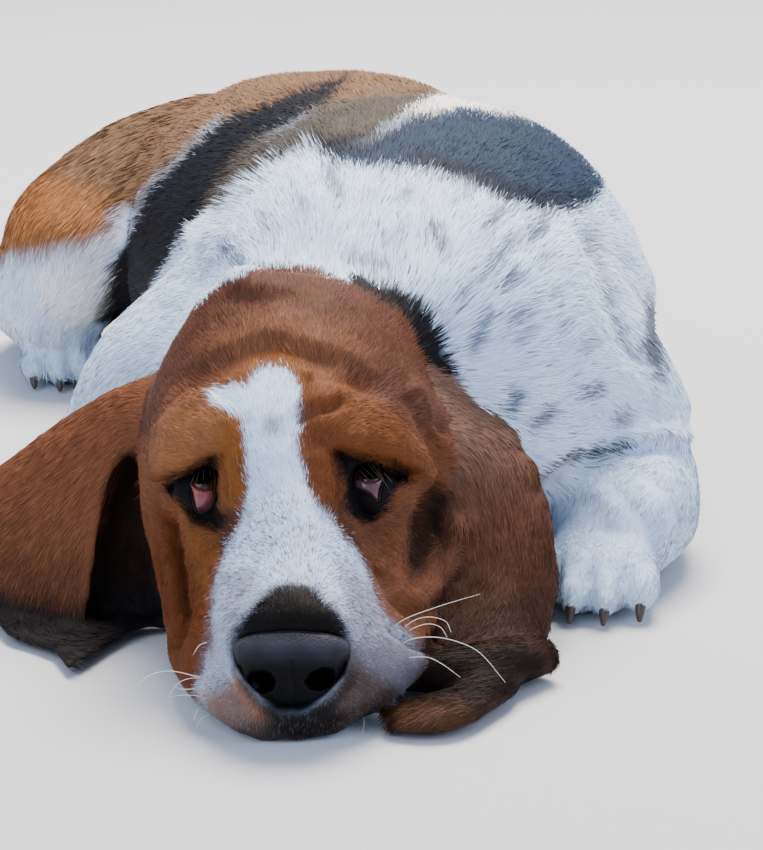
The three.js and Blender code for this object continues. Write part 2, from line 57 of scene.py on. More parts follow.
MM = 0.001
BODY = "root"
UP = np.array([0.0, 0.0, 1.0])
GROUND = 0.5  # nothing of the dog reaches lower than this
EYE_RADIUS = 12.5
EYE_RIGHT = np.array([-44.0, 104.0, 87.0])
EYE_LEFT = np.array([34.0, 104.0, 89.0])
FACE_BACK = 150  # source Y behind which nothing belongs to the face
HASH_PRIMES = (73856093, 19349663, 83492791, 2654435761)
HASH_MIXER = 1274126177
WORD = 0xFFFFFFFF
HALF_WORD = 0xFFFF
CAP_RINGS = 6  # rings that round off each end of a tube
CAP_TURN = 0.98  # how much of a quarter turn they cover
Rows = Sequence[Sequence[float]]
Points = Sequence[tuple[float, float]]
Arrays = tuple[np.ndarray, ...]


# Numbers and vectors

def unit(vectors: np.ndarray) -> np.ndarray:
    """Each row divided by its own length."""
    return vectors / np.maximum(np.linalg.norm(vectors, axis=-1, keepdims=True), 1e-9)


def rise(values: np.ndarray, low: float, high: float) -> np.ndarray:
    """0 below low, 1 above high, with a smooth S between them (3f^2 - 2f^3)."""
    f = np.clip((values - low) / (high - low), 0, 1)
    return f * f * (3 - 2 * f)


def dot(a: np.ndarray, b: np.ndarray) -> np.ndarray:
    """The products of the rows of a and b."""
    return np.sum(a * b, axis=-1)


def linear(hex_colour: str) -> np.ndarray:
    """The linear red, green and blue of an sRGB hex colour such as 8A5A30."""
    srgb = np.array([int(hex_colour[i:i + 2], 16) / 255 for i in (0, 2, 4)])
    return np.where(srgb <= 0.04045, srgb / 12.92, ((srgb + 0.055) / 1.055) ** 2.4)


def catmull(values: np.ndarray, at: np.ndarray) -> np.ndarray:
    """Catmull-Rom curve through evenly counted rows, its ends carried on straight.

    Args:
        values: rows that the curve passes through, (n, k).
        at: places along the curve, counted in rows, (m,).
    Returns:
        The curve's values there, (m, k).
    """
    last = len(values) - 1
    padded = np.concatenate([2 * values[:1] - values[1:2], values, 2 * values[-1:] - values[-2:-1]])
    i = np.clip(np.floor(at).astype(int), 0, last - 1)
    f = (at - i).reshape(-1, *[1] * (values.ndim - 1))
    a, b, c, d = (padded[i + k] for k in range(4))
    return b + 0.5 * f * (c - a + f * (2 * a - 5 * b + 4 * c - d + f * (3 * (b - c) + d - a)))


def noise(points: np.ndarray, size: float, seed: int = 0) -> np.ndarray:
    """Smooth random values from -1 to 1: hashed values at the corners of cubes, blended inside.

    Args:
        points: places in mm, (n, 3).
        size: side of a cube in mm.
        seed: picks another pattern.
    Returns:
        One value a point, (n,).
    """
    q = points / size
    cell = np.floor(q).astype(np.int64)
    f = q - cell
    f = f * f * (3 - 2 * f)
    total = np.zeros(len(points))
    for corner in product((0, 1), repeat=3):
        c = cell + corner
        h = seed * HASH_PRIMES[3]
        for k in range(3):
            h = c[:, k] * HASH_PRIMES[k] ^ h
        h &= WORD
        h = ((h ^ (h >> 13)) * HASH_MIXER) & WORD
        value = ((h ^ (h >> 16)) & HALF_WORD) / (HALF_WORD / 2) - 1
        total += value * np.prod(np.where(corner, f, 1 - f), axis=1)
    return total


def to_line(pixels: np.ndarray, line: Points, closed: bool = False) -> Arrays:
    """How points lie beside a line of straight steps.

    Args:
        pixels: points in the plane, (n, 2).
        line: the line's corners.
        closed: whether the last corner joins the first.
    Returns:
        The distance, the side (+1 to the right of the line's run on the page, -1 to the left), and
        the place along the line from 0 to 1.
    """
    corners = np.array(line, float)
    if closed:
        corners = np.vstack([corners, corners[:1]])
    runs = np.linalg.norm(np.diff(corners, axis=0), axis=1)
    starts = np.concatenate([[0], np.cumsum(runs)])
    best = np.full(len(pixels), np.inf)
    side = np.ones(len(pixels))
    place = np.zeros(len(pixels))
    for k, run in enumerate(runs):
        a, step = corners[k], corners[k + 1] - corners[k]
        along = np.clip(((pixels - a) @ step) / run ** 2, 0, 1)
        away = pixels - a - along[:, None] * step
        d = np.hypot(away[:, 0], away[:, 1])
        near = d < best
        best = np.where(near, d, best)
        side = np.where(near, np.sign(step[0] * away[:, 1] - step[1] * away[:, 0] + 1e-9), side)
        place = np.where(near, (starts[k] + along * run) / starts[-1], place)
    return best, side, place


def inside(pixels: np.ndarray, polygon: Points) -> np.ndarray:
    """Signed distance to a polygon's rim: positive inside it, by counting crossings.

    Args:
        pixels: points in the plane, (n, 2).
        polygon: its corners.
    Returns:
        The distances, (n,).
    """
    within = np.zeros(len(pixels), bool)
    corners = np.array(polygon, float)
    for a, b in zip(corners, np.roll(corners, -1, axis=0)):
        spans = (a[1] > pixels[:, 1]) != (b[1] > pixels[:, 1])
        crossing = a[0] + (pixels[:, 1] - a[1]) / (b[1] - a[1] + 1e-9) * (b[0] - a[0])
        within ^= spans & (pixels[:, 0] < crossing)
    distance, _, _ = to_line(pixels, polygon, closed=True)
    return np.where(within, distance, -distance)


class Place:
    """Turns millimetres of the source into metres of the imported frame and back."""

    def __init__(self) -> None:
        """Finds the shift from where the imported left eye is."""
        low, high = (np.array(corner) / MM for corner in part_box("eye_left"))
        self.shift = (low + high) / 2 - EYE_LEFT

    def metres(self, points: np.ndarray) -> np.ndarray:
        """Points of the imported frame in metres."""
        return (points + self.shift) * MM

    def millimetres(self, points: np.ndarray) -> np.ndarray:
        """Points of the source's frame in millimetres."""
        return points / MM - self.shift


PLACE = Place()


@dataclass(frozen=True)
class View:
    """The photograph's camera, level from side to side and looking along +Y and down."""

    at: tuple[float, float, float] = (40.3, -1455.1, 553.1)
    pitch: float = math.radians(15.5)
    focal_px: float = 3441.0
    width_px: float = 763.0
    height_px: float = 850.0

    @property
    def ahead(self) -> np.ndarray:
        """The direction it looks in."""
        return np.array([0, math.cos(self.pitch), -math.sin(self.pitch)])

    @property
    def over(self) -> np.ndarray:
        """The picture's upward direction."""
        return np.array([0, math.sin(self.pitch), math.cos(self.pitch)])

    def pixels(self, points: np.ndarray) -> np.ndarray:
        """Where points in mm show in the photograph, (n, 2)."""
        away = points - np.array(self.at)
        depth = away @ self.ahead
        x = self.width_px / 2 + self.focal_px * away[:, 0] / depth
        y = self.height_px / 2 - self.focal_px * (away @ self.over) / depth
        return np.stack([x, y], axis=1)

    def point(self, x: float, y: float, along: float) -> np.ndarray:
        """The point in mm that shows at pixel (x, y) and has the given source Y."""
        run = (self.ahead * self.focal_px + self.over * (self.height_px / 2 - y)
               + np.array([x - self.width_px / 2, 0, 0]))
        return np.array(self.at) + run * (along - self.at[1]) / run[1]

    def faces(self, points: np.ndarray, normals: np.ndarray) -> np.ndarray:
        """How squarely a surface faces the camera: 1 straight at it, 0 edge on, less turned away."""
        return dot(normals, unit(np.array(self.at) - points))

    def build(self) -> None:
        """Makes the camera."""
        data = bpy.data.cameras.new("photograph_camera")
        data.sensor_width = 36
        data.lens = data.sensor_width * self.focal_px / self.height_px
        data.clip_end = 50
        camera = bpy.data.objects.new("photograph_camera", data)
        camera.location = PLACE.metres(np.array(self.at))
        camera.rotation_euler = (math.pi / 2 - self.pitch, 0, 0)
        bpy.context.scene.collection.objects.link(camera)
        bpy.context.scene.camera = camera


VIEW = View()
PX_PER_MM = 2.15  # in the photograph, at the eyes


# Meshes

def mesh_piece(name: str, points: np.ndarray, faces: Sequence[np.ndarray]) -> bpy.types.Object:
    """A smooth-shaded object from arrays, at the origin, its place in its mesh.

    Args:
        name: the object's name.
        points: vertices in mm of the source, (n, 3).
        faces: arrays of faces, each (m, corners).
    Returns:
        The new object, linked into the scene.
    """
    mesh = bpy.data.meshes.new(name)
    loops = np.concatenate([f.reshape(-1) for f in faces])
    counts = np.concatenate([np.full(len(f), f.shape[1]) for f in faces])
    mesh.vertices.add(len(points))
    mesh.vertices.foreach_set("co", PLACE.metres(points).astype(np.float32).ravel())
    mesh.loops.add(len(loops))
    mesh.loops.foreach_set("vertex_index", loops.astype(np.int32))
    mesh.polygons.add(len(counts))
    mesh.polygons.foreach_set("loop_start", np.concatenate([[0], np.cumsum(counts)[:-1]]).astype(np.int32))
    mesh.update(calc_edges=True)
    mesh.shade_smooth()
    piece = bpy.data.objects.new(name, mesh)
    bpy.context.scene.collection.objects.link(piece)
    return piece


def loft(rings: np.ndarray) -> Arrays:
    """Closed skin over rings of points, each end drawn together in its ring's middle.

    Args:
        rings: points of the rings in order, (rings, around, 3).
    Returns:
        The vertices, the four-sided faces and the three-sided ones.
    """
    count, around, _ = rings.shape
    points = np.concatenate([rings.reshape(-1, 3), rings[0].mean(0)[None], rings[-1].mean(0)[None]])
    j = np.arange(around)
    n = (j + 1) % around
    first = np.arange(count - 1)[:, None] * around
    quads = np.stack([first + j, first + n, first + around + n, first + around + j], axis=-1).reshape(-1, 4)
    head, tail = count * around, count * around + 1
    last = (count - 1) * around
    fans = np.concatenate([
        np.stack([np.full(around, head), n, j], axis=-1),
        np.stack([np.full(around, tail), last + j, last + n], axis=-1),
    ])
    return points, quads, fans


@dataclass(frozen=True)
class Tube:
    """A rounded body along rows of [x, y, z, half width, height above, depth below, pear].

    A ring's point at an angle a is (cos a)^(2/power) times the half width, widened below by pear,
    and (sin a)^(2/power) times the height or the depth. Caps close it as quarter ellipses.
    """

    rows: Rows
    around: int = 48
    steps: int = 40
    cap_start: float = 10
    cap_end: float = 10
    power: float = 2.2
    up: tuple[float, float, float] = (0.0, 0.0, 1.0)

    def axes(self, at: np.ndarray) -> Arrays:
        """The middle, the direction along, to the side and over, and the sizes at places along it."""
        rows = np.array(self.rows, float)
        last = len(rows) - 1
        step = 1e-3
        values = catmull(rows, at)
        along = unit(catmull(rows, np.minimum(at + step, last))[:, :3]
                     - catmull(rows, np.maximum(at - step, 0))[:, :3])
        side = unit(np.cross(along, np.array(self.up)))
        return values[:, :3], along, side, np.cross(side, along), values[:, 3:]

    def rings(self, grow: float) -> np.ndarray:
        """Its rings of points in mm, drawn in or out by grow, (rings, around, 3)."""
        last = len(self.rows) - 1
        arc = np.linspace(1, 0, CAP_RINGS + 1)[:-1] * math.pi / 2 * CAP_TURN
        end = np.zeros(CAP_RINGS)
        body = np.linspace(0, last, self.steps + 1)
        at = np.concatenate([end, body, end + last])
        fade = np.concatenate([arc, body * 0, arc[::-1]])
        cap = np.concatenate([end - self.cap_start - grow, body * 0, end + self.cap_end + grow])
        middle, along, side, over, sizes = self.axes(at)
        middle = middle + along * (np.sin(fade) * cap)[:, None]
        angle = np.arange(self.around) / self.around * 2 * math.pi
        c, s = np.cos(angle), np.sin(angle)
        half, above, below, pear = (sizes[:, k, None] for k in range(4))
        x = np.sign(c) * np.abs(c) ** (2 / self.power) * (half + grow) * (1 - pear * s)
        y = np.sign(s) * np.abs(s) ** (2 / self.power) * (np.where(s > 0, above, below) + grow)
        shrink = np.cos(fade)[:, None, None]
        return middle[:, None] + shrink * (x[..., None] * side[:, None] + y[..., None] * over[:, None])


@dataclass(frozen=True)
class Sheet:
    """A sheet through ribs of points, of some thickness in mm.

    It is thinner along its rims by a share of 0.45 exp(-d / 1.2), d steps of its grid from them.
    """

    ribs: Sequence[Rows]
    thickness: float = 7
    across: int = 40
    along: int = 40

    def surface(self, u: np.ndarray, v: np.ndarray) -> np.ndarray:
        """Points of its middle surface: u counts ribs and v counts along a rib, (u, v, 3)."""
        ribs = np.array(self.ribs, float)
        lines = catmull(np.swapaxes(ribs, 0, 1), v)
        return catmull(np.swapaxes(lines, 0, 1), u)

    def frame(self, across: int, along: int) -> Arrays:
        """Points, normals and the two directions over a grid of the sheet."""
        u = np.linspace(0, len(self.ribs) - 1, across)
        v = np.linspace(0, len(self.ribs[0]) - 1, along)
        points = self.surface(u, v)
        by_u, by_v = np.gradient(points, axis=0), np.gradient(points, axis=1)
        return points, unit(np.cross(by_u, by_v)), unit(by_u), unit(by_v)

    def rings(self, grow: float) -> np.ndarray:
        """Rings round the sheet, up one face and down the other, (across, 2 along, 3)."""
        points, normals, _, _ = self.frame(self.across, self.along)
        edge = np.minimum.outer(np.minimum(np.arange(self.across), np.arange(self.across)[::-1]),
                                np.minimum(np.arange(self.along), np.arange(self.along)[::-1]))
        half = self.thickness / 2 * (1 - 0.45 * np.exp(-edge / 1.2))[..., None] + grow
        return np.concatenate([points + normals * half, (points - normals * half)[:, ::-1]], axis=1)


class Part(Enum):
    """The parts of the dog's body that its skin covers."""

    HEAD = 0
    NECK = 1
    TRUNK = 2
    TAIL = 3
    ARM_LEFT = 4
    ARM_RIGHT = 5
    FOREARM_LEFT = 6
    FOREARM_RIGHT = 7
    FOREPAW_LEFT = 8
    FOREPAW_RIGHT = 9
    THIGH_LEFT = 10
    THIGH_RIGHT = 11
    SHANK_LEFT = 12
    SHANK_RIGHT = 13
    HINDPAW_LEFT = 14
    HINDPAW_RIGHT = 15
    EAR_RIGHT = 16
    EAR_LEFT = 17


PAWS = (Part.FOREPAW_LEFT, Part.FOREPAW_RIGHT, Part.HINDPAW_LEFT, Part.HINDPAW_RIGHT)
EARS = (Part.EAR_RIGHT, Part.EAR_LEFT)
ARMS = (Part.ARM_LEFT, Part.ARM_RIGHT)
FORELEGS = (Part.FOREARM_LEFT, Part.FOREARM_RIGHT, Part.FOREPAW_LEFT, Part.FOREPAW_RIGHT)
FORE = (Part.NECK, *ARMS, *FORELEGS)
LOWER_LEGS = (Part.FOREARM_LEFT, Part.FOREARM_RIGHT, Part.SHANK_LEFT, Part.SHANK_RIGHT, *PAWS)


def is_in(labels: np.ndarray, parts: Sequence[Part]) -> np.ndarray:
    """Which labels name one of the parts."""
    return np.isin(labels, [part.value for part in parts])


@dataclass(frozen=True)
class Push:
    """A place where flesh swells or sinks, fading as a bell curve."""

    at: tuple[float, float, float]
    reach: tuple[float, float, float]
    by: tuple[float, float, float]


def pushed(points: np.ndarray, pushes: Sequence[Push]) -> np.ndarray:
    """Points moved by every push, each by exp(-d^2 / 2) of it, d counted in its reaches."""
    moved = points.copy()
    for push in pushes:
        d = dot((points - push.at) / push.reach, (points - push.at) / push.reach)
        moved += np.exp(-d / 2)[..., None] * np.array(push.by)
    return moved


@dataclass(frozen=True)
class Paw:
    """A paw lying flat: its place on the ground, the turn of its toes and its size."""

    at: tuple[float, float]
    turn: float
    length: float = 42
    half_width: float = 34
    height: float = 40

    def point(self, along: float, across: float, z: float) -> list[float]:
        """A point ahead of the paw's place and across it."""
        x = self.at[0] + math.sin(self.turn) * along + math.cos(self.turn) * across
        y = self.at[1] - math.cos(self.turn) * along + math.sin(self.turn) * across
        return [x, y, z]

    def body(self) -> Tube:
        """The paw's body behind its toes."""
        shape = ((-0.35, 0.8, 0.95), (0.05, 0.96, 1), (0.45, 0.94, 0.86), (0.7, 0.8, 0.72))
        rows = [self.point(along * self.length, 0, self.height * 0.45)
                + [self.half_width * wide, self.height * 0.55 * tall, self.height * 0.5, 0]
                for along, wide, tall in shape]
        return Tube(rows, around=40, steps=16)

    def tips(self) -> list[tuple[float, float]]:
        """How far across and ahead each of the four toes reaches, the middle pair furthest."""
        return [(place * self.half_width * 0.5, self.length * (0.86 if abs(place) > 1 else 1.08))
                for place in (-1.5, -0.5, 0.5, 1.5)]

    def toes(self) -> list[Tube]:
        """The four toes, each along rows of [reach, width, height, level] as shares."""
        wide = self.half_width * 0.27
        shape = ((0.45, 1, 0.3, 0.44), (0.75, 1.08, 0.34, 0.4), (1, 0.92, 0.28, 0.3))
        return [Tube([self.point(reach * far, across, self.height * high)
                      + [wide * broad, self.height * tall, self.height * tall, 0]
                      for far, broad, tall, high in shape],
                     around=24, steps=12, cap_start=6, cap_end=7)
                for across, reach in self.tips()]

    def claws(self) -> list[Tube]:
        """A claw ahead of each toe, bent down and tapering to a blunt tip."""
        shape = ((-3, 3.0, 3.4, 0.31), (2, 2.9, 3.1, 0.25), (5, 2.3, 2.5, 0.15), (7, 1.3, 1.4, 0.08))
        return [Tube([self.point(reach + far, across, self.height * high) + [half, tall, tall, 0]
                      for far, half, tall, high in shape],
                     around=14, steps=14, cap_start=2, cap_end=1, power=2)
                for across, reach in self.tips()]


FACE_PUSHES = (
    Push((-40, 88, 88), (14, 18, 15), (3, 10, -3)),  # right eye's hollow
    Push((34, 88, 89), (14, 18, 15), (-3, 10, -3)),  # left eye's hollow
    Push((-50, 106, 120), (20, 22, 10), (-4, -12, 2)),  # right brow
    Push((46, 106, 120), (20, 22, 10), (4, -12, 2)),  # left brow
    Push((-56, 94, 40), (14, 30, 26), (-6, -4, 0)),  # right cheek
    Push((54, 94, 44), (14, 30, 24), (6, -4, 0)),  # left cheek
    Push((60, 90, 18), (14, 24, 16), (10, -4, 0)),  # fold of the left cheek, spread on the ground
    Push((-38, 40, 14), (16, 26, 16), (-4, -3, 0)),  # right flew
    Push((46, 46, 16), (18, 26, 16), (12, -3, 0)),  # left flew, fallen outwards
)
SKIN_PUSHES = (
    Push((-70, 96, 44), (12, 26, 16), (6, 0, 0)),  # right cheek drawn in under the eye
    Push((-66, 110, 68), (12, 20, 14), (5, 0, 0)),
    Push((-50, 62, 16), (12, 24, 12), (-7, -2, 0)),  # its fold, hanging to the ground
    Push((-34, 24, 10), (12, 20, 10), (-5, -2, 0)),
    Push((-94, 318, 110), (26, 46, 28), (-13, 0, 2)),  # right shoulder
    Push((208, 290, 45), (20, 36, 22), (-8, 0, 0)),  # left forearm
    Push((76, 190, 122), (24, 24, 20), (-3, 0, -8)),  # root of the left ear
    Push((-38, 176, 163), (16, 22, 14), (0, 0, 6)),  # right side of the crown
    Push((2, 202, 180), (30, 16, 14), (0, 0, -4)),  # back of the crown
)
SEAMS = ((118, 198, 70, 13), (112, 206, 86, 12))  # places and reaches where the left ear meets the arm
TRUNK_PUSHES = (
    Push((12, 335, 205), (40, 46, 20), (0, 0, 5)),  # withers
    Push((70, 560, 205), (60, 40, 30), (0, 0, -4)),  # dip of the loin
    Push((40, 655, 190), (26, 34, 20), (0, 0, 2)),  # left hip bone
    Push((-44, 668, 186), (26, 34, 20), (0, 0, 2)),  # right hip bone
    Push((172, 470, 60), (22, 60, 46), (4, 0, 0)),  # left ribs
    Push((-56, 470, 60), (22, 60, 46), (-4, 0, 0)),  # right ribs
)


@dataclass(frozen=True)
class Flesh:
    """One part of the body: its shapes, and how the coat lies on it.

    lie is the sense of the coat along each shape (for a sheet, 0 across its ribs and 1 along them),
    and fall how much it turns down towards the ground.
    """

    part: Part
    shapes: Sequence[Tube | Sheet]
    lie: float = 1
    fall: float = 0
    pushes: Sequence[Push] = ()


class Figure:
    """The dog's shapes, from the same rows as its solids."""

    paws = {
        Part.FOREPAW_LEFT: Paw((151, 212), -0.18),
        Part.FOREPAW_RIGHT: Paw((-124, 230), 0.06),
        Part.HINDPAW_LEFT: Paw((168, 652), -0.1, 40, 30, 34),
        Part.HINDPAW_RIGHT: Paw((-162, 662), 0.2, 40, 30, 34),
    }

    def head(self) -> Flesh:
        """Skull, muzzle and lower lip."""
        skull = Tube([
            [0, 8, 38, 33, 26, 40, 0.12],
            [0, 30, 40, 41, 37, 44, 0.3],
            [0, 56, 44, 45, 50, 46, 0.46],
            [-2, 82, 52, 50, 58, 54, 0.46],
            [-4, 106, 62, 62, 68, 64, 0.16],
            [-4, 132, 72, 73, 79, 74, 0.04],
            [-3, 162, 80, 75, 89, 82, 0],
            [-1, 192, 86, 71, 92, 88, 0],
            [2, 220, 88, 60, 80, 88, 0],
        ], around=120, steps=90, cap_start=14, cap_end=22)
        jaw = Tube([
            [0, 9, 4, 25, 7, 6, 0],
            [0, 34, 8, 27, 12, 10, 0],
            [-1, 100, 20, 36, 18, 22, 0],
        ], cap_start=12, cap_end=4)
        return Flesh(Part.HEAD, (skull, jaw), fall=0.25, pushes=FACE_PUSHES)

    def trunk(self) -> list[Flesh]:
        """Neck, trunk and tail."""
        neck = Tube([
            [0, 182, 90, 60, 66, 92, 0],
            [8, 215, 96, 78, 74, 98, 0],
            [24, 255, 98, 98, 90, 100, 0],
            [42, 300, 98, 112, 104, 100, 0],
        ], around=80, cap_start=10, cap_end=4)
        torso = Tube([
            [40, 205, 80, 66, 66, 84, 0.1],
            [44, 235, 92, 98, 94, 96, 0.08],
            [48, 280, 98, 114, 106, 104, 0.06],
            [54, 335, 100, 124, 108, 108, 0.05],
            [60, 395, 100, 131, 110, 108, 0.05],
            [58, 455, 100, 131, 112, 108, 0.06],
            [45, 515, 98, 136, 109, 106, 0.08],
            [24, 575, 95, 135, 104, 104, 0.08],
            [12, 630, 94, 130, 102, 102, 0.04],
            [-2, 685, 90, 118, 98, 98, 0],
            [-16, 735, 82, 98, 84, 90, 0],
            [-26, 775, 72, 66, 60, 76, 0],
        ], around=120, steps=110, cap_start=26, cap_end=34, power=2.3)
        tail = Tube([
            [-24, 770, 96, 24, 22, 22, 0],
            [-36, 812, 70, 20, 19, 19, 0],
            [-62, 846, 36, 17, 16, 16, 0],
            [-112, 858, 15, 14, 14, 16, 0],
            [-166, 842, 12, 11, 11, 13, 0],
            [-208, 806, 9, 7, 7, 10, 0],
        ], around=30, steps=60, cap_start=20, cap_end=8)
        return [Flesh(Part.NECK, (neck,), fall=0.5), Flesh(Part.TAIL, (tail,)),
                Flesh(Part.TRUNK, (torso,), fall=0.35, pushes=TRUNK_PUSHES)]

    def limbs(self) -> list[Flesh]:
        """Upper arms, forearms, thighs and shanks: the caps, the coat's fall and the rows of each."""
        table = (
            (Part.ARM_LEFT, 20, 20, 0.3, [
                [76, 352, 142, 70, 68, 66, 0], [112, 322, 116, 66, 64, 66, 0],
                [150, 304, 88, 52, 48, 56, 0], [184, 303, 60, 34, 32, 40, 0]]),
            (Part.ARM_RIGHT, 20, 20, 0.3, [
                [28, 348, 142, 68, 68, 66, 0], [-14, 320, 115, 64, 62, 66, 0],
                [-58, 302, 88, 50, 46, 56, 0], [-98, 301, 60, 34, 32, 40, 0]]),
            (Part.FOREARM_LEFT, 20, 10, 0.3, [
                [186, 306, 42, 29, 27, 42, 0], [181, 272, 42, 34, 29, 42, 0],
                [169, 242, 38, 34, 28, 38, 0], [157, 220, 30, 33, 25, 30, 0]]),
            (Part.FOREARM_RIGHT, 20, 10, 0.3, [
                [-106, 318, 44, 32, 30, 44, 0], [-112, 290, 42, 34, 29, 42, 0],
                [-118, 262, 38, 33, 28, 38, 0], [-122, 240, 30, 33, 25, 30, 0]]),
            (Part.THIGH_RIGHT, 30, 30, 0.5, [
                [-58, 715, 104, 62, 70, 80, 0], [-104, 694, 99, 64, 62, 70, 0],
                [-140, 660, 89, 58, 48, 56, 0], [-154, 628, 80, 46, 38, 42, 0]]),
            (Part.THIGH_LEFT, 30, 30, 0.5, [
                [48, 712, 104, 62, 66, 80, 0], [94, 682, 96, 60, 58, 70, 0],
                [138, 646, 84, 52, 46, 56, 0], [166, 618, 74, 44, 38, 44, 0]]),
            (Part.SHANK_RIGHT, 26, 14, 0.5, [
                [-160, 640, 66, 40, 40, 44, 0], [-184, 690, 50, 32, 34, 36, 0],
                [-186, 740, 34, 23, 26, 34, 0]]),
            (Part.SHANK_LEFT, 26, 14, 0.5, [
                [170, 628, 62, 40, 38, 44, 0], [184, 676, 48, 32, 34, 36, 0],
                [184, 728, 34, 23, 26, 34, 0]]),
        )
        return [Flesh(part, (Tube(rows, around=60, cap_start=start, cap_end=end),), fall=fall)
                for part, start, end, fall, rows in table]

    def feet(self) -> list[Flesh]:
        """The four paws with the pasterns of the hind ones."""
        pasterns = {
            Part.HINDPAW_RIGHT: [[-186, 752, 22, 18, 20, 24, 0], [-178, 712, 17, 20, 17, 20, 0],
                                 [-168, 676, 16, 24, 16, 18, 0]],
            Part.HINDPAW_LEFT: [[184, 740, 22, 18, 20, 24, 0], [178, 700, 17, 20, 17, 20, 0],
                                [170, 664, 16, 24, 16, 18, 0]],
        }
        legs = {part: [Tube(rows)] for part, rows in pasterns.items()}
        return [Flesh(part, (paw.body(), *paw.toes(), *legs.get(part, [])))
                for part, paw in self.paws.items()]

    def ears(self) -> list[Flesh]:
        """The right ear thrown out with its tip folded forwards, the left one hanging and rolled, and a
        sheet behind the right ear that stands in for the shade of the hollow by its cheek.
        """
        right = Sheet([
            [[-50, 208, 118], [-56, 190, 126], [-60, 176, 122], [-60, 164, 112], [-58, 154, 100]],
            [[-88, 216, 106], [-92, 204, 110], [-92, 188, 108], [-88, 174, 98], [-86, 164, 84]],
            [[-128, 226, 82], [-124, 212, 88], [-116, 190, 82], [-104, 170, 72], [-94, 154, 58]],
            [[-182, 238, 42], [-168, 218, 50], [-146, 192, 50], [-122, 166, 44], [-98, 142, 34]],
            [[-238, 226, 9], [-212, 208, 11], [-178, 186, 12], [-140, 160, 12], [-103, 134, 11]],
        ], across=70, along=60)
        flap = Sheet([
            [[-164, 178, 8], [-152, 150, 6], [-146, 134, 5]],
            [[-128, 172, 9], [-126, 140, 6], [-122, 114, 5]],
            [[-106, 160, 9], [-106, 120, 7], [-108, 84, 5]],
            [[-88, 172, 8], [-84, 154, 7], [-84, 132, 5]],
            [[-74, 165, 6], [-73, 156, 6], [-71, 145, 5]],
            [[-50, 178, 6], [-50, 162, 6], [-52, 146, 5]],
        ])
        left = Sheet([
            [[52, 140, 104], [66, 136, 80], [64, 124, 52], [58, 112, 32], [62, 84, 14]],
            [[58, 152, 116], [84, 146, 90], [84, 132, 60], [80, 112, 36], [78, 74, 14]],
            [[62, 170, 126], [98, 164, 94], [108, 150, 64], [104, 118, 36], [96, 70, 13]],
            [[60, 190, 130], [104, 184, 94], [120, 172, 62], [121, 142, 32], [112, 84, 11]],
            [[54, 206, 120], [98, 196, 90], [122, 182, 60], [129, 152, 28], [121, 114, 8]],
        ], across=60, along=70)
        roll = Tube([[118, 90, 12, 13, 12, 12, 0], [96, 70, 12, 15, 14, 12, 0], [66, 63, 12, 13, 13, 12, 0],
                     [42, 74, 10, 10, 10, 10, 0]],
                    around=30, steps=30, cap_start=6, cap_end=6)
        tip = Tube([[98, 60, 9, 12, 9, 9, 0], [84, 38, 9, 15, 8, 9, 0], [66, 19, 8, 20, 8, 8, 0],
                    [47, 10, 6, 13, 6, 6, 0]], around=30, steps=30, cap_start=6, cap_end=6)
        # a sheet behind the right ear, painted near black as the shade in the hollow between ear and cheek
        shade_sheet = Sheet([
            [[-82, 184, 104], [-68, 192, 106], [-56, 206, 104]],
            [[-104, 190, 84], [-80, 194, 84], [-58, 200, 82]],
            [[-114, 184, 56], [-84, 184, 56], [-60, 188, 54]],
            [[-118, 172, 30], [-88, 172, 28], [-60, 176, 26]],
            [[-120, 160, 8], [-88, 160, 6], [-62, 166, 5]],
        ])
        return [Flesh(Part.EAR_RIGHT, (right, flap, shade_sheet), lie=0),
                Flesh(Part.EAR_LEFT, (left, roll, tip))]

    def parts(self) -> list[Flesh]:
        """Every part of the body."""
        return [self.head(), *self.trunk(), *self.limbs(), *self.feet(), *self.ears()]


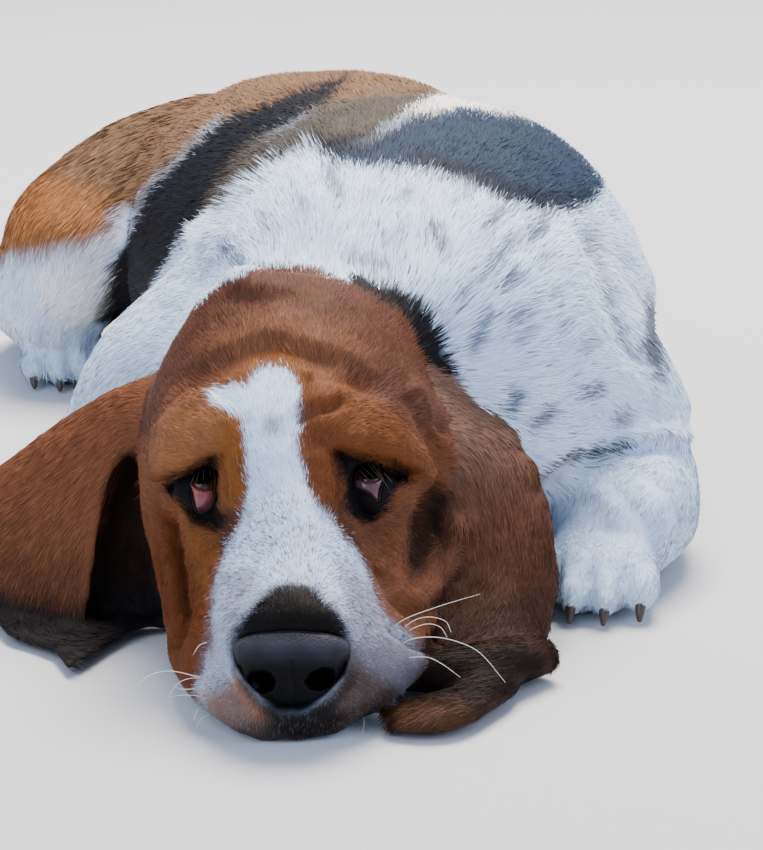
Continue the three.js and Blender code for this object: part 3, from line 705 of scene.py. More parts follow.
class Stations:
    """Places along every shape, each with its own measure of nearness, to tell parts and lie.

    A point's distance from a station is counted in the station's half width, half height and
    step along the shape, so it is about 1 on the shape's own surface.
    """

    many, few = 30, 9  # stations along a tube of more than 5 rows, and along a shorter one
    grid = 18  # stations along each side of a sheet
    close = 6.0  # what a sheet's station counts as 1, in mm

    def __init__(self, parts: Sequence[Flesh]) -> None:
        """Lays out the stations of all parts."""
        columns = zip(*[self.of(flesh, shape) for flesh in parts for shape in flesh.shapes])
        (self.middle, self.side, self.over, self.along, self.lie, self.part,
         self.place) = (np.concatenate(values) for values in columns)

    def of(self, flesh: Flesh, shape: Tube | Sheet) -> Arrays:
        """The stations of one shape: middle, three axes, lie, part and place along the shape."""
        if isinstance(shape, Sheet):
            points, normals, by_u, by_v = shape.frame(self.grid, self.grid)
            lie = by_v if flesh.lie else by_u
            flat = [values.reshape(-1, 3) for values in
                    (points, by_u / self.close, by_v / self.close, normals / self.close, lie)]
            return (*flat, np.full(self.grid ** 2, flesh.part.value),
                    np.repeat(np.linspace(0, 1, self.grid), self.grid))
        count = self.many if len(shape.rows) > 5 else self.few
        at = np.linspace(0, len(shape.rows) - 1, count)
        middle, along, side, over, sizes = shape.axes(at)
        half, above, below = sizes[:, 0], sizes[:, 1], sizes[:, 2]
        high = (above + below) / 2
        step = np.maximum(np.minimum(half, high) * 0.6, 5)
        return (middle + over * ((above - below) / 2)[:, None], side / half[:, None],
                over / high[:, None], along / step[:, None],
                along * flesh.lie + np.array([0, 0, -flesh.fall]), np.full(count, flesh.part.value),
                at / at[-1])

    def nearest(self, points: np.ndarray) -> Arrays:
        """For each point its nearest station, and how near a second part comes (0 is equally near)."""
        order = np.argsort(self.part, kind="stable")
        starts = np.searchsorted(self.part[order], np.arange(len(Part)))
        axes = [getattr(self, name)[order].astype(np.float32) for name in ("side", "over", "along")]
        middle = self.middle[order].astype(np.float32)
        offsets = [dot(axis, middle) for axis in axes]
        found, margin = [], []
        for chunk in np.array_split(points.astype(np.float32), max(1, len(points) // 15000)):
            d = sum((chunk @ axis.T - offset) ** 2 for axis, offset in zip(axes, offsets))
            found.append(order[np.argmin(d, axis=1)])
            nearest = np.sqrt(np.minimum.reduceat(d, starts, axis=1))
            nearest.partition(1, axis=1)
            margin.append(nearest[:, 1] - nearest[:, 0])
        return np.concatenate(found), np.concatenate(margin)


class Surface:
    """A triangle mesh as arrays in mm; the finished skin's vertices know more.

    They know their normal, the label of their part, the lie of the coat, how the skin bends along
    it in 1/mm, and their place on the unrolled skin.
    """

    normal: np.ndarray
    label: np.ndarray
    lie: np.ndarray
    bend: np.ndarray
    map: np.ndarray

    def __init__(self, points: np.ndarray, triangles: np.ndarray) -> None:
        """Keeps the arrays and works out the edges."""
        self.points = points
        self.triangles = triangles
        pairs = np.concatenate([triangles[:, [0, 1]], triangles[:, [1, 2]], triangles[:, [2, 0]]])
        self.edges = np.unique(np.sort(pairs, axis=1), axis=0)
        self.degree = np.bincount(self.edges.ravel(), minlength=len(points)).astype(float)

    def mean(self, values: np.ndarray) -> np.ndarray:
        """The mean of each vertex's neighbours' values, (n, k)."""
        a, b = self.edges.T
        count = len(values)
        total = np.stack([np.bincount(a, column[b], count) + np.bincount(b, column[a], count)
                          for column in values.T], axis=1)
        return total / np.maximum(self.degree, 1)[:, None]

    def smoothed(self, values: np.ndarray, weight: np.ndarray | float, rounds: int) -> np.ndarray:
        """Values drawn towards their neighbours' mean by weight, several times over."""
        share = np.broadcast_to(np.asarray(weight, float), len(values))[:, None]
        for _ in range(rounds):
            values = values + share * (self.mean(values) - values)
        return values

    def normals(self) -> np.ndarray:
        """Outward normals at the vertices, each the sum of its triangles' own."""
        a, b, c = (self.points[self.triangles[:, k]] for k in range(3))
        face = np.cross(b - a, c - a)
        total = np.stack([np.bincount(self.triangles.ravel(), np.repeat(face[:, k], 3), len(self.points))
                          for k in range(3)], axis=1)
        return unit(total)

    def curvature(self, normals: np.ndarray, along: np.ndarray) -> np.ndarray:
        """How the surface bends along a direction, in 1/mm, positive where it falls away.

        The mean over the edges at a vertex of (change of normal . edge) / edge^2, weighted by the
        fourth power of the cosine between edge and direction.
        """
        a, b = self.edges.T
        step = self.points[b] - self.points[a]
        run = np.maximum(dot(step, step), 1e-6)
        bend = dot(normals[b] - normals[a], step) / run
        total, share = np.zeros(len(self.points)), np.full(len(self.points), 1e-9)
        for end in (a, b):
            weight = (dot(step, along[end]) ** 2 / run) ** 2
            total += np.bincount(end, weight * bend, len(self.points))
            share += np.bincount(end, weight, len(self.points))
        return self.smoothed((total / share)[:, None], 0.6, 8)[:, 0]

    def areas(self) -> np.ndarray:
        """The triangles' areas in square mm."""
        a, b, c = (self.points[self.triangles[:, k]] for k in range(3))
        return np.linalg.norm(np.cross(b - a, c - a), axis=1) / 2


def piece_points(piece: bpy.types.Object) -> np.ndarray:
    """A piece's vertices in the frame's metres."""
    flat = np.empty(len(piece.data.vertices) * 3, np.float32)
    piece.data.vertices.foreach_get("co", flat)
    return flat.reshape(-1, 3).astype(float)


def surface_of(mesh: bpy.types.Mesh) -> Surface:
    """The triangles of a mesh as a Surface, in mm."""
    points = np.empty(len(mesh.vertices) * 3)
    mesh.vertices.foreach_get("co", points)
    mesh.calc_loop_triangles()
    triangles = np.empty(len(mesh.loop_triangles) * 3, np.int32)
    mesh.loop_triangles.foreach_get("vertices", triangles)
    return Surface(PLACE.millimetres(points.reshape(-1, 3)), triangles.reshape(-1, 3))


def with_modifier(piece: bpy.types.Object, kind: str, **settings: object) -> bpy.types.Mesh:
    """The mesh that one modifier makes of a piece; the modifier is gone afterwards."""
    modifier = piece.modifiers.new(kind.lower(), kind)
    for key, value in settings.items():
        setattr(modifier, key, value)
    mesh = bpy.data.meshes.new_from_object(piece.evaluated_get(bpy.context.evaluated_depsgraph_get()))
    piece.modifiers.clear()
    return mesh


def largest(surface: Surface) -> Surface:
    """Only the biggest of a surface's separate closed parts, found by spreading the lowest label."""
    label = np.arange(len(surface.points))
    a, b = surface.edges.T
    while True:
        low = np.minimum(label[a], label[b])
        spread = label.copy()
        np.minimum.at(spread, a, low)
        np.minimum.at(spread, b, low)
        spread = spread[spread]
        if np.array_equal(spread, label):
            break
        label = spread
    keep = label == np.bincount(label).argmax()
    renumber = np.cumsum(keep) - 1
    triangles = surface.triangles[keep[surface.triangles[:, 0]]]
    return Surface(surface.points[keep], renumber[triangles])


@dataclass(frozen=True)
class Fold:
    """A crease in the skin, drawn in the photograph: a groove, and a roll of skin beside it.

    line holds pixels along the groove. width and depth are the groove's and roll is the roll's
    height, in mm. side is 1 for a roll on the right of the line's run and -1 for one on the left.
    ends is the share of the line over which each end fades.
    """

    line: Points
    width: float
    depth: float
    roll: float = 0.0
    side: int = 1
    ends: float = 0.15


FOLDS = (
    Fold(((170, 404), (190, 388), (208, 377), (227, 366), (250, 355), (276, 351), (300, 357), (318, 364),
        (345, 374), (368, 388), (388, 408)), 8, 2.6, 1.4, side=-1),  # over the forehead
    Fold(((294, 431), (301, 417), (314, 412), (333, 407), (350, 398)), 5, 3.2, 1.0, side=-1),
    Fold(((300, 383), (320, 379), (340, 381), (357, 386), (372, 397)), 4, 1.6, 1.0, side=-1),
    Fold(((178, 428), (196, 412), (214, 406)), 6, 1.2, 0.8, side=-1),
    Fold(((150, 486), (170, 481), (193, 471), (208, 460), (217, 452)), 7, 3.5, 4.5, side=-1),  # right brow
    Fold(((331, 446), (345, 454), (363, 458), (387, 463), (403, 471), (413, 483)), 7, 3.5, 4.5, side=-1),
    Fold(((217, 452), (222, 470), (224, 490), (226, 510)), 6, 1.8, 2.4, side=-1),  # inner side of the eye
    Fold(((331, 446), (336, 468), (338, 490), (340, 510)), 6, 1.8, 2.4, side=1),
    Fold(((396, 392), (411, 403), (421, 418), (429, 434), (434, 448), (437, 466), (437, 480)), 6, 4.2, 3.0,
        side=-1),
    Fold(((440, 421), (447, 439), (452, 462), (453, 490)), 6, 1.6, 1.0, side=-1),
    Fold(((372, 562), (382, 575), (391, 596), (401, 606), (413, 613), (424, 620)), 5, 5.0, 4.0, side=-1),
    Fold(((384, 622), (398, 634), (414, 645), (432, 652), (446, 650)), 4, 4.0, 0.8, side=-1),
    Fold(((170, 516), (177, 545), (184, 580), (186, 604), (190, 624)), 4.5, 6.0, 1.5, side=1, ends=0.1),
    Fold(((174, 650), (184, 636), (192, 618)), 4.5, 3.4, 0.8, side=1),
    Fold(((198, 545), (206, 575), (207, 600), (202, 640)), 6, 2.0, 1.4, side=1),
    Fold(((214, 560), (208, 600), (206, 640), (212, 690)), 7, 1.2, 1.0, side=-1),
    Fold(((298, 704), (298, 722), (299, 738)), 4, 3.0, 0.8, side=1, ends=0.05),
    Fold(((316, 143), (301, 150), (279, 161), (253, 183), (228, 206), (208, 226), (186, 240)), 22, 6.0, 9.0,
        side=-1),  # the ridge of the withers
    Fold(((578, 212), (592, 240), (604, 277), (618, 315), (630, 348), (655, 382)), 18, 9.0, 6.0, side=1),
    Fold(((530, 494), (548, 473), (573, 458), (606, 450), (640, 446), (676, 448), (692, 464), (699, 490)), 7,
        8.0, 7.0, side=-1),  # the upper arm over the forearm
    Fold(((600, 478), (630, 500), (648, 530), (658, 566)), 8, 2.0, 1.6, side=1),
    Fold(((640, 470), (668, 492), (680, 524), (676, 560)), 9, 2.4, 1.8, side=1),
    Fold(((548, 500), (580, 500), (610, 508)), 8, 1.8, 1.6, side=-1),
)


@dataclass(frozen=True)
class Pad:
    """Flesh standing proud of its surroundings: its outline in pixels, height and rounding in mm."""

    outline: Points
    height: float
    soft: float


PADS = (
    Pad(((232, 642), (238, 616), (250, 598), (270, 584), (290, 577), (314, 583), (336, 603), (351, 624),
        (354, 642), (330, 635), (292, 633), (256, 635)), 3.5, 4),  # furred top of the nose
    Pad(((150, 440), (160, 418), (182, 390), (205, 374), (221, 361), (244, 348), (268, 345), (296, 348),
        (317, 358), (345, 369), (366, 382), (384, 397), (402, 420), (425, 450), (438, 470), (480, 440),
        (480, 200), (120, 200), (120, 440)), 3.0, 14),  # dome of the skull over the face
    Pad(((148, 452), (156, 424), (174, 402), (196, 388), (212, 390), (230, 406), (235, 426), (228, 441),
        (216, 454), (210, 459), (201, 464), (191, 470), (181, 475), (170, 481), (160, 486), (150, 480)), 5.0,
        5),  # right brow
    Pad(((214, 430), (232, 410), (245, 430), (248, 470), (247, 500), (238, 518), (228, 514), (220, 500),
        (217, 476), (216, 456)), 3, 6),
    Pad(((302, 372), (320, 371), (345, 380), (366, 393), (386, 409), (404, 426), (424, 447), (436, 466),
        (436, 480), (430, 486), (420, 486), (409, 476), (402, 468), (391, 466), (377, 464), (361, 461),
        (346, 454), (332, 448), (316, 440), (302, 425)), 5.0, 6),  # left brow
    Pad(((300, 425), (320, 410), (336, 430), (338, 464), (339, 490), (337, 514), (328, 524), (314, 510),
        (303, 482)), 3, 6),
    Pad(((386, 620), (404, 630), (427, 650), (423, 674), (397, 707), (350, 740), (318, 744), (330, 715),
        (352, 690), (366, 655), (372, 630)), 3, 8),  # left flew
    Pad(((215, 640), (207, 668), (199, 687), (208, 716), (230, 742), (262, 752), (284, 744), (270, 712),
        (240, 692), (226, 665)), 3, 7),  # right flew
    Pad(((150, 505), (170, 512), (178, 545), (184, 580), (187, 606), (188, 622), (178, 646), (166, 626),
        (160, 590), (152, 550)), 4.5, 3),  # folds hanging under the right eye
    Pad(((180, 502), (200, 522), (222, 532), (225, 560), (214, 590), (211, 640), (205, 668), (192, 692),
        (180, 684), (180, 650), (191, 620), (196, 590), (188, 560), (181, 530)), 3.5, 5),
    Pad(((342, 508), (372, 524), (392, 514), (410, 500), (413, 530), (406, 560), (407, 585), (395, 590),
        (376, 569), (357, 545)), 3, 6),  # left cheek
    Pad(((372, 560), (384, 568), (396, 580), (412, 590), (434, 606), (448, 625), (452, 644), (440, 650),
        (425, 640), (404, 622), (388, 606)), 2.5, 4),  # its fold over the corner of the mouth
    Pad(((438, 478), (449, 498), (446, 524), (436, 549), (424, 570), (412, 587), (409, 560), (410, 515),
        (420, 494)), -10, 3),  # dark hollow between cheek and ear
    Pad(((450, 508), (466, 520), (462, 566), (440, 604), (412, 606), (413, 590), (427, 572), (441, 548)),
        6.5, 2.5),  # edge of the ear beside it
    Pad(((402, 404), (424, 420), (448, 442), (470, 474), (480, 520), (472, 560), (458, 560), (453, 512),
        (447, 474), (436, 452), (420, 430)), 3, 4),  # front of the left ear
)


FOLD_MARGIN = 60  # how many pixels round its line a fold can reach


def padded(points: np.ndarray, normals: np.ndarray, pads: Sequence[Pad]) -> np.ndarray:
    """Points raised inside each pad by height (1 - exp(-d / soft)), d mm from its outline.

    It fades out from y = 150 to 225 and where the surface turns away from the camera.
    """
    pixels = VIEW.pixels(points)
    facing = rise(VIEW.faces(points, normals), -0.35, 0.1) * rise(-points[:, 1], -225, -150)
    moved = np.zeros(len(points))
    for pad in pads:
        low, high = np.min(pad.outline, axis=0), np.max(pad.outline, axis=0)
        near = np.flatnonzero(np.all((pixels > low) & (pixels < high), axis=1) & (facing > 0))
        depth = np.maximum(inside(pixels[near], pad.outline), 0) / PX_PER_MM
        moved[near] += pad.height * (1 - np.exp(-depth / pad.soft)) * facing[near]
    return points + normals * moved[:, None]


def folded(points: np.ndarray, normals: np.ndarray, folds: Sequence[Fold]) -> np.ndarray:
    """Points with grooves and rolls: outwards by roll exp(-((s - 0.9w) / w)^2) - depth exp(-(2s / w)^2).

    s is the distance from the fold's line in mm, positive on the roll's side; both fade at the
    line's ends and where the surface turns away from the camera.
    """
    pixels = VIEW.pixels(points)
    depth = (points - np.array(VIEW.at)) @ VIEW.ahead
    scale = depth / VIEW.focal_px
    facing = rise(VIEW.faces(points, normals), 0.05, 0.35)
    moved = np.zeros(len(points))
    for fold in folds:
        low, high = np.min(fold.line, axis=0) - FOLD_MARGIN, np.max(fold.line, axis=0) + FOLD_MARGIN
        near = np.flatnonzero(np.all((pixels > low) & (pixels < high), axis=1) & (facing > 0))
        if not len(near):
            continue
        distance, side, place = to_line(pixels[near], fold.line)
        s = distance * scale[near] * side * fold.side
        w = fold.width
        fade = np.minimum(rise(place, 0, fold.ends), rise(1 - place, 0, fold.ends)) * facing[near]
        shape = fold.roll * np.exp(-((s - 0.9 * w) / w) ** 2) - fold.depth * np.exp(-(2 * s / w) ** 2)
        moved[near] += fade * shape
    return points + normals * moved[:, None]


@dataclass(frozen=True)
class Eye:
    """One eye: where it is, its opening and the dark round it (black lid skin, and painted shade in the
    socket under the brow), drawn in the photograph.

    opening, haw (the inner lid) and rim are outlines in pixels. gaze is the pixel that the pupil
    shows at, flesh the inner lid's colour, darkened as painted shade, the left eye's most, and each of the
    lashes a root and a tip.
    """

    name: str
    at: np.ndarray
    opening: Points
    haw: Points
    rim: Points
    gaze: tuple[float, float]
    flesh: str
    lashes: tuple[tuple[float, float, float, float], ...]


RIGHT_EYE = Eye(
    "right", EYE_RIGHT,
    opening=((189.5, 482), (195, 475), (203, 469), (212, 465), (214, 478), (213.5, 490), (214, 500),
        (210, 508), (202, 513), (197, 512), (193.5, 503), (191.5, 492)),
    haw=((189.5, 483), (196.3, 488.5), (203.5, 491), (212.5, 492), (213.5, 500), (209, 507.5), (202, 512),
        (197, 512), (194.5, 500), (192.5, 491.5)),
    rim=((215.7, 455), (217.5, 471), (214, 487), (215, 502), (218, 510), (225, 518), (222, 528), (214, 530),
        (201, 527), (191, 521), (187, 511), (179, 504), (172, 498), (166, 488), (170, 481), (181, 476),
        (191, 470), (201, 464), (210, 458)),
    gaze=(203, 477), flesh="90443F",
    lashes=((195, 475, 190, 485), (199, 472, 196, 483), (204, 469, 203, 480), (209, 466, 211, 476)))
LEFT_EYE = Eye(
    "left", EYE_LEFT,
    opening=((355, 478.5), (358, 470), (366, 464), (377, 466), (384.5, 474), (383, 483), (380, 492),
        (378, 501), (371, 495), (363, 491), (355.5, 487)),
    haw=((355, 479.5), (366, 482), (375, 481.6), (384, 478), (379.5, 487), (378.5, 494), (377.5, 500),
        (371, 494), (363.5, 490), (355.5, 487)),
    rim=((334, 449), (354, 456), (377, 463), (395, 466), (407, 472), (409, 482), (398, 485), (393, 492),
        (391, 502), (385, 512), (373, 521), (363, 523), (354, 518), (346, 510), (345, 498), (344, 487),
        (340, 471), (336, 459)),
    gaze=(369, 472), flesh="5E3C42",
    lashes=((358, 469, 371, 482), (362, 466, 374, 478), (368, 464, 380, 478), (373, 465, 389, 489),
        (378, 467, 384, 480), (384, 473, 392, 482)))
EYES = (RIGHT_EYE, LEFT_EYE)


COMBED = (
    (190, 432, 30, -1.0, -0.25), (176, 462, 20, -1.0, 0.3), (210, 440, 14, -0.8, -0.3),
    (232, 462, 14, -0.25, -1.0), (232, 500, 12, -0.3, -0.8), (318, 462, 14, 0.35, -1.0),
    (326, 500, 12, 0.4, -0.8), (350, 425, 22, 0.9, -0.45), (385, 430, 26, 1.0, 0.0),
    (416, 462, 20, 0.8, 0.5), (195, 560, 30, -0.1, 1.0), (175, 600, 30, 0.0, 1.0), (360, 545, 22, 0.3, 1.0),
    (392, 545, 30, 0.2, 1.0), (425, 612, 20, 0.8, 0.7), (228, 625, 26, -0.5, 0.8), (374, 620, 26, 0.7, 0.7),
    (300, 556, 16, 0.0, -1.0), (256, 545, 22, -0.8, -0.3), (340, 548, 22, 0.8, -0.2),
    (225, 712, 24, -0.5, 0.9), (298, 735, 22, 0.0, 1.0), (385, 690, 30, 0.7, 0.6), (250, 590, 16, -0.8, 0.1),
    (338, 592, 16, 0.8, 0.1), (225, 395, 14, -1.0, 0.0),
)  # how the face's hair lies: a pixel, the reach round it, and the direction right and down


class Skin:
    """The dog's skin: one closed surface round all its flesh, with folds and lids."""

    depth = 1.2  # how far under the solids it lies
    voxel = 2.6
    triangles = 104_000  # before the face is made finer
    refined_boxes = (  # pixels of the face, and of the eyes, by opposite corners
        (((110, 330), (465, 760)),),
        (((160, 448), (232, 532)), ((332, 445), (412, 526))),
    )
    socket = 6.5  # how far the skin round the eyes is drawn in
    lid = 1.1  # how far the lids lie over the ball
    opening = 14.0  # how far the skin is drawn in between the lids
    nose_bed = 14.0  # how far it is drawn in behind the nose leather
    ripples = ((0.4, 11, 81), (0.22, 5, 82))  # height, size and seed of its fine unevenness

    def __init__(self, figure: Figure) -> None:
        """Takes the figure's shapes."""
        self.parts = figure.parts()
        self.stations = Stations(self.parts)

    def raw(self) -> Surface:
        """All the shapes fused by a voxel remesh."""
        points, quads, fans, count = [], [], [], 0
        for flesh in self.parts:
            for shape in flesh.shapes:
                p, q, f = loft(shape.rings(-self.depth))
                points.append(pushed(p, flesh.pushes))
                quads.append(q + count)
                fans.append(f + count)
                count += len(p)
        piece = mesh_piece("flesh", np.concatenate(points), [np.concatenate(quads), np.concatenate(fans)])
        mesh = with_modifier(piece, "REMESH", mode="VOXEL", voxel_size=self.voxel * MM, adaptivity=0)
        bpy.data.objects.remove(piece)
        return largest(surface_of(mesh))

    def blended(self, surface: Surface) -> Surface:
        """Joints between parts smoothed away, toes and ears kept crisp."""
        station, margin = self.stations.nearest(surface.points)
        label = self.stations.part[station]
        crisp = is_in(label, PAWS + EARS)
        joint = np.exp(-(margin / 0.16) ** 2)
        joint = surface.smoothed(joint[:, None], 0.8, 8)[:, 0]
        weight = np.where(is_in(label, PAWS), 0.06, np.where(crisp, 0.2, 0.3))
        weight = weight + 0.65 * np.clip(joint, 0, 1) * np.where(crisp, 0.3, 1)
        points = surface.smoothed(surface.points, 0.5, 3)
        points = surface.smoothed(points, weight, 45)
        points[:, 2] = np.maximum(points[:, 2], GROUND)
        return Surface(points, surface.triangles)

    def lightened(self, surface: Surface) -> Surface:
        """Fewer triangles on the body, all of them kept on the head and the paws."""
        station, _ = self.stations.nearest(surface.points)
        label = self.stations.part[station]
        fine = is_in(label, PAWS + (Part.HEAD,))
        piece = mesh_piece("flesh", surface.points, [surface.triangles])
        group = piece.vertex_groups.new(name="fine")
        group.add(np.flatnonzero(fine).tolist(), 1.0, "REPLACE")
        mesh = with_modifier(piece, "DECIMATE", ratio=self.triangles / len(surface.triangles),
                             vertex_group="fine", invert_vertex_group=True, vertex_group_factor=60.0)
        bpy.data.objects.remove(piece)
        return surface_of(mesh)

    def refined(self, surface: Surface) -> Surface:
        """The face's edges halved once, and once more round the eyes."""
        for boxes in self.refined_boxes:
            pixels = VIEW.pixels(surface.points)
            face = sum(np.all((pixels > low) & (pixels < high), axis=1) for low, high in boxes) > 0
            face &= surface.points[:, 1] < FACE_BACK
            face &= VIEW.faces(surface.points, surface.normals()) > -0.1
            piece = mesh_piece("flesh", surface.points, [surface.triangles])
            work = bmesh.new()
            work.from_mesh(piece.data)
            edges = [e for e in work.edges if face[e.verts[0].index] and face[e.verts[1].index]]
            bmesh.ops.subdivide_edges(work, edges=edges, cuts=1, use_grid_fill=True)
            bmesh.ops.triangulate(work, faces=work.faces[:])
            work.to_mesh(piece.data)
            work.free()
            surface = surface_of(piece.data)
            bpy.data.objects.remove(piece)
        return surface

    def with_eyes(self, surface: Surface) -> Surface:
        """Hollows round the eyes, and the skin drawn in behind the balls where the lids open."""
        points = surface.points
        normals = surface.normals()
        pixels = VIEW.pixels(points)
        facing = rise(VIEW.faces(points, normals), 0.0, 0.25) * (points[:, 1] < FACE_BACK)
        for eye in EYES:
            hollow = rise(inside(pixels, eye.rim), -2, 9) * facing
            points = points + VIEW.ahead * (self.socket * hollow)[:, None]
            opening = inside(pixels, eye.opening)
            lid = np.exp(-((opening + 2.5) / 2.5) ** 2)
            on_ball = self.over_ball(points - eye.at, EYE_RADIUS + self.lid)
            cover = np.where(on_ball < 0, 1 - rise(opening, -1.5, 0.5), lid) * facing
            points = points + (cover * on_ball)[:, None] * VIEW.ahead
            sunk = rise(opening, -0.8, 2.5) * facing
            points = points + VIEW.ahead * (self.opening * sunk)[:, None]
        return Surface(points, surface.triangles)

    @staticmethod
    def over_ball(away: np.ndarray, radius: float) -> np.ndarray:
        """How far along the view a point lies from the near side of a ball round the origin."""
        along = away @ VIEW.ahead
        across = dot(away, away) - along ** 2
        front = -np.sqrt(np.maximum(radius ** 2 - across, 0))
        return np.where(across < radius ** 2, front - along, 0)

    def base(self) -> Surface:
        """The skin before its folds: fused, blended and made finer where it matters."""
        surface = self.raw()
        log.info("skin fused: %d triangles", len(surface.triangles))
        return self.refined(self.lightened(self.blended(surface)))

    def build(self) -> Surface:
        """The finished skin with its parts, the lie of the coat and how it curves along that."""
        surface = self.base()
        surface.points = pushed(surface.points, SKIN_PUSHES)
        near = sum(np.exp(-dot(surface.points - at, surface.points - at) / reach ** 2)
                   for *at, reach in SEAMS)
        surface.points = surface.smoothed(surface.points, 0.7 * np.minimum(near, 1), 24)
        surface.points = padded(surface.points, surface.normals(), PADS)
        surface.points = folded(surface.points, surface.normals(), FOLDS)
        surface = self.with_toes(self.with_nose_bed(self.with_eyes(surface)))
        surface.points = surface.smoothed(surface.points, 0.3, 2)
        ripple = sum(height * noise(surface.points, size, seed) for height, size, seed in self.ripples)
        surface.points += surface.normals() * ripple[:, None]
        surface.points[:, 2] = np.maximum(surface.points[:, 2], GROUND)
        station, _ = self.stations.nearest(surface.points)
        surface.normal = surface.normals()
        surface.label = self.labels(surface, station)
        lie = self.tangent(self.stations.lie[station], surface.normal)
        lie = self.combed(surface, surface.smoothed(lie, 0.7, 24))
        lie = surface.smoothed(self.tangent(lie, surface.normal), 0.6, 8)
        surface.lie = self.tangent(lie, surface.normal)
        surface.bend = surface.curvature(surface.normal, surface.lie)
        surface.map = self.unwrap(surface, station)
        log.info("skin: %d triangles", len(surface.triangles))
        return surface

    @staticmethod
    def combed(surface: Surface, lie: np.ndarray) -> np.ndarray:
        """The lie on the face drawn towards the directions seen in the photograph."""
        pixels = VIEW.pixels(surface.points)
        front = (surface.label == Part.HEAD.value) * rise(VIEW.faces(surface.points, surface.normal), 0, 0.2)
        front = front * rise(-surface.points[:, 1], -160, -120)
        for x, y, reach, right, down in COMBED:
            away = (pixels - [x, y]) / reach
            share = front * np.exp(-dot(away, away))
            aim = np.array([right, 0, 0]) - VIEW.over * down
            lie = lie + 2.5 * share[:, None] * aim
        return lie

    def labels(self, surface: Surface, station: np.ndarray) -> np.ndarray:
        """Each vertex's part, its borders smoothed by a vote among neighbours."""
        votes = np.eye(len(Part))[self.stations.part[station]]
        return surface.smoothed(votes, 0.8, 6).argmax(axis=1)

    @staticmethod
    def with_toes(surface: Surface) -> Surface:
        """Grooves between the toes: inwards by 3.6 exp(-(d / 2.3)^2), d mm across from the gap."""
        moved = np.zeros(len(surface.points))
        for paw in Figure.paws.values():
            away = surface.points[:, :2] - paw.at
            along = away @ [math.sin(paw.turn), -math.cos(paw.turn)]
            across = away @ [math.cos(paw.turn), math.sin(paw.turn)]
            near = rise(along / paw.length, 0.4, 0.85) * (along < paw.length * 1.4)
            near = near * (surface.points[:, 2] < 40)
            for gap in (-0.5, 0, 0.5):
                moved += near * 3.6 * np.exp(-((across - gap * paw.half_width) / 2.3) ** 2)
        return Surface(surface.points - surface.normals() * moved[:, None], surface.triangles)

    def with_nose_bed(self, surface: Surface) -> Surface:
        """The skin drawn in behind the nose leather, so that only the leather shows there."""
        points = surface.points
        facing = rise(VIEW.faces(points, surface.normals()), -0.1, 0.2) * (points[:, 1] < 30)
        deep = self.nose_bed * rise(inside(VIEW.pixels(points), NOSE_BED), 0.0, 7.0) * facing
        return Surface(points + VIEW.ahead * deep[:, None], surface.triangles)

    @staticmethod
    def tangent(vectors: np.ndarray, normals: np.ndarray) -> np.ndarray:
        """Unit vectors laid flat on the surface."""
        return unit(vectors - dot(vectors, normals)[:, None] * normals)

    def unwrap(self, surface: Surface, station: np.ndarray) -> np.ndarray:
        """Each part unrolled into its own cell of a square: along it one way, round it the other."""
        s = self.stations
        away = surface.points - s.middle[station]
        turn = np.arctan2(dot(away, s.side[station]), dot(away, s.over[station])) / (2 * math.pi) + 0.5
        label = s.part[station]
        low, size = (np.array([CELLS[part][k] for part in Part])[label] for k in (0, 1))
        return low + np.stack([s.place[station], turn], axis=1) * size * 0.96


# Each part's cell on the bake map: its lower corner and its size
CELLS = {part: ((0.5 + 0.125 * (k % 4), 0.2 * (k // 4)), (0.125, 0.2)) for k, part in enumerate(Part)}
CELLS[Part.TRUNK] = ((0.0, 0.0), (0.3, 0.7))
CELLS[Part.HEAD] = ((0.3, 0.0), (0.2, 0.7))
CELLS[Part.EAR_RIGHT] = ((0.0, 0.7), (0.2, 0.3))
CELLS[Part.EAR_LEFT] = ((0.2, 0.7), (0.2, 0.3))


class Tone(Enum):
    """Colours of the coat and skin, as sRGB hex; some of them are painted light and shade, as their names or
    the comments over them say.
    """

    # white with the blue cast of the sky light painted in
    WHITE = "D8E8FC"
    # pale cream where the sun falls on the top of the back: painted light
    SUNLIT_CREAM = "FFF6EC"
    TICK = "586276"
    ROAN = "5C4B4A"
    # the left ear's top where light falls on it: painted light
    EAR_TOP_LIT = "7E6050"
    SHADE = "575049"
    BROW_LIT = "94603C"
    LILAC = "8A8996"
    BLACK = "1A191B"
    # black hair in the blue-grey of its sheen: painted sheen
    SADDLE_SHEEN = "2A3646"
    OLIVE = "4F483E"
    BROWN = "77492F"
    CROWN = "5A3727"
    ORANGE = "855022"
    CHEEK = "653518"
    RED = "653F2D"
    DARK_BROWN = "43291D"
    TAN = "99643B"
    RUMP = "795B41"
    # near black for painted shade in hollows and folds
    HOLLOW_SHADE = "140F0C"
    FRECKLE = "A07C68"
    # the brow's tone as it shows in shade: painted shade
    BROW = "734324"
    FLEW = "5C473B"
    # black lid skin, also used for the painted shade in the sockets under the brows
    LID = "141214"
    # dark fur over the nose, also used for painted shade under and round the nose
    NOSE_HAIR_AND_SHADE = "130E0D"
    LIP = "362920"


@dataclass(frozen=True)
class Patch:
    """A marking drawn in the photograph: its outline in pixels, its tone, and how soft its rim is.

    One that is behind colours only what lies behind the crown, or behind the fore half of the body.
    """

    tone: Tone
    outline: Points
    soft: float = 6
    share: float = 1.0
    behind: bool = False


